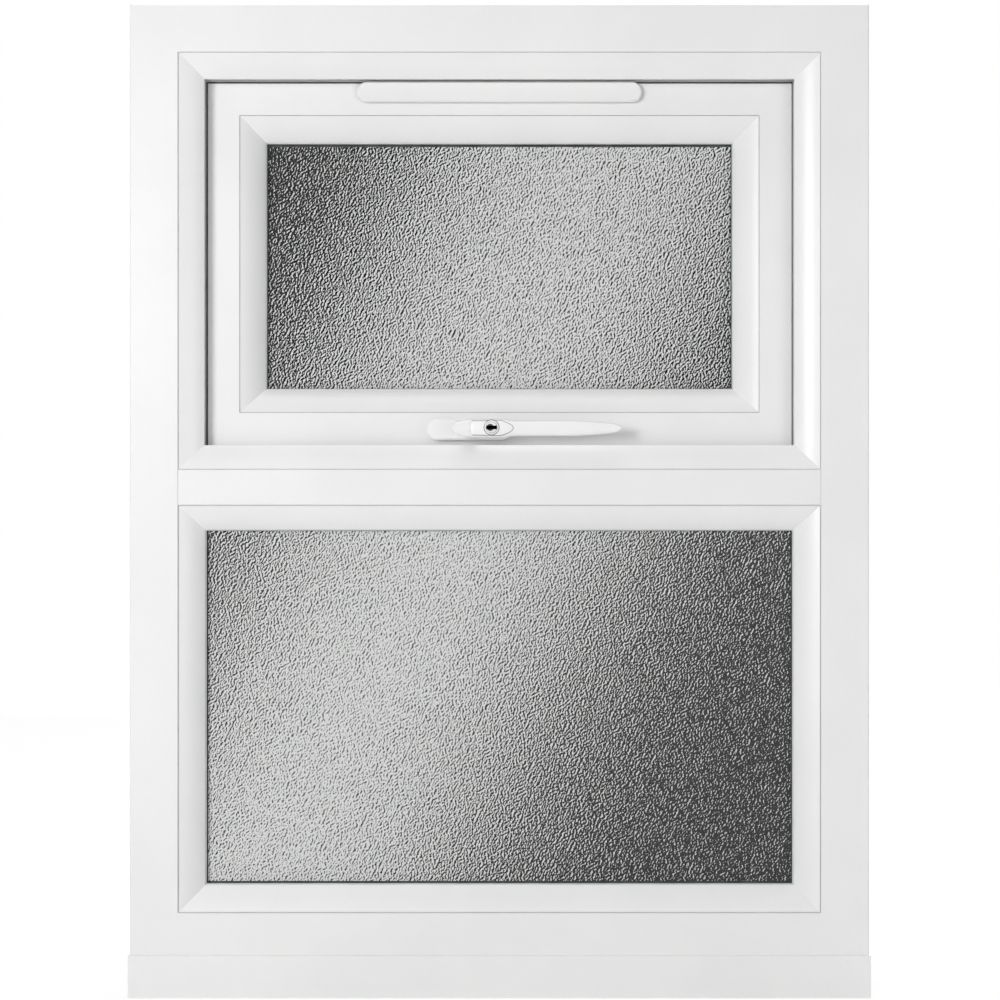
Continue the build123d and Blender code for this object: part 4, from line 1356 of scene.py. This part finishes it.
@dataclass(frozen=True)
class Handle(Assembly):
    """The handle: its base, the sculpted lever with its raised pad, and the key cylinder."""

    body: Body = Body.LEVER
    form: LeverForm = LeverForm()
    neck_radius: float = 6.4 * MM
    neck_length: float = 18 * MM
    neck_step: float = 0.1 * MM
    neck_root: float = 1.0 * MM
    spindle_radius: float = 3.3 * MM
    pad_half: float = 6.0 * MM
    pad_raise: float = 1.2 * MM
    pad_edge: float = 0.55 * MM
    pad_root: float = 2.0 * MM
    pad_shoulder: float = 1.2 * MM
    pad_tip: float = 11.2 * MM
    pad_bow: float = 1.2 * MM
    pad_inset: float = 0.4 * MM
    nose_steps: int = 16
    bow_steps: int = 6
    # The width and rise of the band of painted shade around the pad's tip.
    edge_shade: float = 0.45 * MM
    edge_shade_rise: float = 0.05 * MM
    ring_width: float = 0.45 * MM
    ring_rise: float = 0.08 * MM
    ring_root: float = 0.4 * MM
    plug_set_back: float = 0.15 * MM
    plug_edge: float = 0.2 * MM
    plug_sides: int = 40
    keyhole_half: float = 4.4 * MM
    keyhole_width: float = 3.0 * MM
    keyhole_rise: float = 0.1 * MM
    keyhole_root: float = 0.5 * MM
    keyhole_round: float = 2.9 * MM
    keyhole_offset: float = 1.1 * MM
    round_rise: float = 0.05 * MM

    def build(self) -> None:
        """Dress the sub-assembly."""
        self.coat(Slot.PAINTED, "handle_base_cover")
        self.coat(Slot.STEEL, "handle_base", "handle_screws", "lock_follower")
        self.coat(Slot.CHROME, "key_cylinder", "key_plug", "handle_lever")
        lever = self.form.build()
        self.add(lever, Slot.PAINTED)
        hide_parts("handle_lever")
        self.add(self.neck(), Slot.STEEL)
        self.add(self.pad(), Slot.PAINTED)
        # A black ring of painted shade around the key cylinder.
        self.add(self.surround(), Slot.RUBBER)
        plug = self.plug()
        self.add(plug, Slot.CHROME, Body.PLUG)
        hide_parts("key_plug")
        # The keyhole's slot and round are dark plates of painted shade.
        self.add(self.bulge(), Slot.RUBBER, Body.PLUG)
        # A grey band of painted shade around the pad's tip.
        self.add(self.pad_edge_shade(), Slot.RUBBER, finish=self.finishes.crevice_shade)
        self.add(self.keyhole(), Slot.RUBBER, Body.PLUG, self.finishes.keyhole)

    def neck(self) -> bpy.types.Object:
        """The lever's neck and its spindle, both turned round, from its grip to the lock.

        Returns:
            The piece.
        """
        low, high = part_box("lock_follower")
        axis = (low + high) / 2
        start = self.form.front + self.form.thickness - self.neck_root
        turned = lathe([(self.neck_radius, 0.0), (self.neck_radius, self.neck_length),
                        (self.spindle_radius, self.neck_length + self.neck_step),
                        (self.spindle_radius, high.y - start)], sides=32)
        return copies("lever_neck", turned, [(Vector((axis.x, start, axis.z)), Vector((0, 1, 0)))])

    def pad(self) -> bpy.types.Object:
        """The raised pad: nearly straight behind, running to a rounded point in front.

        Returns:
            The piece.
        """
        front = self.form.front
        return plate("lever_pad", self.pad_outline(0.0), front - self.pad_raise,
                     front + self.pad_root, self.pad_edge)

    def pad_edge_shade(self) -> bpy.types.Object:
        """A grey band around the pad's tip: painted shade along the pad's edge.

        Returns:
            The piece.
        """
        front = self.form.front
        return plate("lever_pad_edge_shade", self.pad_outline(self.edge_shade), front - self.edge_shade_rise,
                     front + self.pad_root)

    def pad_outline(self, grow: float) -> Outline:
        """The pad's outline, or one a little larger.

        Args:
            grow: How much larger it is.

        Returns:
            Its points.
        """
        form, steps, rows = self.form, self.nose_steps, self.bow_steps
        half, tip = self.pad_half + grow, self.pad_tip + grow
        nose = [(tip - (tip - self.pad_shoulder) * (i / steps) ** 2, form.middle + half * i / steps)
                for i in range(-steps, steps + 1)]
        back = [(form.scoop_end - (self.pad_bow - grow) * (1 - (i / rows) ** 2),
                 form.middle - (half - self.pad_inset) * i / rows) for i in range(-rows, rows + 1)]
        return nose + back

    def surround(self) -> bpy.types.Object:
        """A dark ring around the key cylinder: painted shade where the cylinder meets the pad.

        Returns:
            The piece.
        """
        low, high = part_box("key_cylinder")
        middle, radius = (low + high) / 2, (high.x - low.x) / 2
        face = self.form.front - self.pad_raise
        ring = circle(middle.x, middle.z, radius + self.ring_width)
        return plate("key_cylinder_shade_ring", ring, face - self.ring_rise, face + self.ring_root)

    def keyhole(self) -> bpy.types.Object:
        """The keyhole: a near-black plate across the plug's face, painted shade for the slot.

        Returns:
            The piece.
        """
        x, y, z = self.plug_face()
        wide, high = self.keyhole_half, self.keyhole_width / 2
        outline = [(x + wide, z - high), (x + wide, z + high), (x - wide, z + high),
                   (x - wide, z - high)]
        return plate("keyhole", outline, y - self.keyhole_rise, y + self.keyhole_root)

    def plug_face(self) -> tuple[float, float, float]:
        """Where the middle of the key plug's face is.

        Returns:
            The place.
        """
        low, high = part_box("key_plug")
        return (low.x + high.x) / 2, low.y + self.plug_set_back, (low.z + high.z) / 2

    def plug(self) -> bpy.types.Object:
        """The key plug, its face a little behind the cylinder's.

        Returns:
            The piece.
        """
        low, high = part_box("key_plug")
        x, y, z = self.plug_face()
        radius, edge = (high.x - low.x) / 2, self.plug_edge
        turned = lathe([(radius, y - high.y), (radius, -edge), (radius - edge, 0.0)],
                       self.plug_sides)
        return copies("plain_key_plug", turned, [(Vector((x, y, z)), Vector((0, -1, 0)))])

    def bulge(self) -> bpy.types.Object:
        """The round of the keyhole, beside the slot's middle: a black plate, painted shade for the
        opening.

        Returns:
            The piece.
        """
        x, y, z = self.plug_face()
        return plate("keyhole_round", circle(x - self.keyhole_offset, z, self.keyhole_round),
                     y - self.round_rise, y + self.keyhole_root)


@dataclass(frozen=True)
class TrickleVent(Assembly):
    """The vent's plates, flap and canopy."""

    body: Body = Body.SASH

    def build(self) -> None:
        """Dress the sub-assembly."""
        self.coat(Slot.UPVC, "vent_back_plate", "vent_flap", "vent_outer_canopy")


@dataclass(frozen=True)
class Hinges(Assembly):
    """The butt hinges at the head, with their screws."""

    body: Body = Body.SASH
    leaf: float = 2.5 * MM
    inset: float = 8.6 * MM
    length: float = 70 * MM
    pitch: float = 23 * MM

    def build(self) -> None:
        """Dress the sub-assembly."""
        self.coat(Slot.PAINTED, "hinge_frame_leaves", "hinge_sash_leaves")
        self.coat(Slot.STEEL, "hinge_pins")
        low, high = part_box("hinge_frame_leaves")
        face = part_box("frame_head")[1].y + self.leaf
        self.add_screws("hinge_frame_screws", self.row(high, high.z - self.inset, face, 1),
                        Body.FRAME)
        low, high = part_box("hinge_sash_leaves")
        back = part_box("sash_flange_seal")[1].y - self.leaf
        self.add_screws("hinge_sash_screws", self.row(high, low.z + self.inset, back, -1))

    def row(self, high: Vector, z: float, y: float, facing: int) -> list[Place]:
        """Three screws across each leaf.

        Args:
            high: The leaves' highest corner.
            z: The row's height.
            y: The depth of the leaf's face.
            facing: 1 for out of the room, -1 for into it.

        Returns:
            The places and directions.
        """
        middle = high.x - self.length / 2
        return [(Vector((side * middle + step * self.pitch, y, z)), Vector((0, facing, 0)))
                for side in (-1, 1) for step in (-1, 0, 1)]


@dataclass(frozen=True)
class Stays(Assembly):
    """The side stays, with their tracks and brackets."""

    body: Body = Body.SASH
    steel: tuple[str, ...] = ("stay_tracks", "stay_brackets", "left_stay_arm", "right_stay_arm",
                              "left_stay_slide_block", "right_stay_slide_block")
    arm_width: float = 14 * MM
    arm_reach: float = 149.7 * MM
    plate: float = 2.5 * MM
    bracket_pitch: float = 20 * MM
    track_depth: float = 4.25 * MM
    track_steps: tuple[float, ...] = (70 * MM, 100 * MM, 128 * MM)
    rivet_profile: tuple[tuple[float, float], ...] = (
        (4.2 * MM, 0.0), (4.1 * MM, 0.12 * MM), (3.2 * MM, 0.2 * MM), (1.5 * MM, 0.24 * MM))

    def build(self) -> None:
        """Dress the sub-assembly."""
        self.coat(Slot.STEEL, *self.steel)
        low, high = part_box("right_stay_arm")
        track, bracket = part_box("stay_tracks"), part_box("stay_brackets")
        line = Vector((0, low.y - high.y + self.arm_width, low.z - high.z + self.arm_width))
        line.normalize()
        pivot = Vector((0, high.y - self.arm_width / 2, high.z - self.arm_width / 2))
        brackets, tracks = [], []
        for side in (-1, 1):
            for step in (-self.bracket_pitch, self.bracket_pitch):
                spot = pivot + line * step
                brackets.append((Vector((side * (bracket[1].x - self.plate), spot.y, spot.z)),
                                 Vector((-side, 0, 0))))
            for step in self.track_steps:
                spot = pivot + line * step
                tracks.append((Vector((side * (track[1].x - self.track_depth), spot.y, spot.z)),
                               Vector((side, 0, 0))))
            domes = [(Vector((side * low.x, *(pivot + line * step).yz)), Vector((-side, 0, 0)))
                     for step in (0.0, self.arm_reach)]
            hand, arm = ("left", Body.LEFT_ARM) if side < 0 else ("right", Body.RIGHT_ARM)
            rivets = copies(f"{hand}_arm_rivets", lathe(self.rivet_profile), domes)
            self.add(rivets, Slot.STEEL, arm)
        self.add_screws("stay_bracket_screws", brackets, Body.FRAME)
        self.add_screws("stay_track_screws", tracks)


@dataclass(frozen=True)
class Lock(Assembly):
    """The lock along the sash's lower edge, and its keeps."""

    body: Body = Body.SASH
    keep_length: float = 34 * MM
    keep_screws: tuple[float, ...] = (8 * MM, 26 * MM)
    keep_plate: float = 2 * MM
    keep_side: float = 8 * MM
    face_screws: tuple[float, ...] = (-210 * MM, -100 * MM, 20 * MM, 100 * MM, 210 * MM)

    def build(self) -> None:
        """Dress the sub-assembly."""
        self.coat(Slot.STEEL, "lock_drive_rail", "lock_faceplate", "lock_gearbox", "lock_keeps")
        low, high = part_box("lock_keeps")
        start = high.x - self.keep_length
        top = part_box("transom")[1].z + self.keep_plate
        keeps = [(Vector((x + step, low.y + self.keep_side, top)), Vector((0, 0, 1)))
                 for x in (low.x, start) for step in self.keep_screws]
        self.add_screws("keep_screws", keeps, Body.FRAME)
        low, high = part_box("lock_faceplate")
        face = [(Vector((x, (low.y + high.y) / 2, low.z)), Vector((0, 0, -1)))
                for x in self.face_screws]
        self.add_screws("lock_faceplate_screws", face)


def make_finishes() -> Finishes:
    """Make every finish.

    Returns:
        The finishes.
    """
    steel = Metal("galvanised_steel", pale=(0.62, 0.64, 0.65), deep=(0.45, 0.47, 0.48), rough=0.3)
    spacer = Metal("spacer_aluminium", pale=(0.72, 0.72, 0.72), deep=(0.6, 0.6, 0.61), rough=0.28,
                   spangle=12 * MM)
    chrome = Metal("key_chrome", pale=(0.8, 0.8, 0.79), deep=(0.66, 0.66, 0.65), rough=0.16,
                   spangle=20 * MM, scratch=0.25 * MM)
    slots = {Slot.UPVC: WhiteUpvc(), Slot.CLEAR: ClearGlass(), Slot.RUBBER: Rubber(),
             Slot.STEEL: steel, Slot.PAINTED: PaintedMetal(), Slot.SPACER: spacer,
             Slot.PACKER: PackerPlastic(), Slot.CHROME: chrome}
    # Painted shade: the dark grey of the joint strips and of the band around the pad's tip.
    crevice_shade = Rubber("joint_crevice_shade", dark=(0.2, 0.205, 0.2), bloom=(0.3, 0.305, 0.3))
    # Painted reflection: the grey-green of the glass edge, on the bead's lip.
    lip = Rubber("bead_lip_glint", dark=(0.58, 0.63, 0.61), bloom=(0.68, 0.72, 0.7))
    # Painted shade: near-black with no shine, for the keyhole.
    keyhole = Rubber("keyhole_shade", dark=(0.001, 0.001, 0.001), bloom=(0.004, 0.004, 0.004),
                     shine=0.0)
    return Finishes({slot: finish.build() for slot, finish in slots.items()}, crevice_shade.build(),
                    lip.build(), keyhole.build())


def main() -> None:
    """Dress the window and set up its studio."""
    logging.basicConfig(level=logging.INFO, format="%(name)s: %(message)s")
    solid_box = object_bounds()
    finishes = make_finishes()
    for assembly in (OuterFrame, FixedLight, OpeningSash, Handle, TrickleVent, Hinges, Stays, Lock):
        assembly(finishes).build()
    Backdrop().build()
    Floor().build(level=solid_box[0][2])
    Camera().build()
    for light in LIGHTS:
        light.build()


if __name__ == "__main__":
    main()
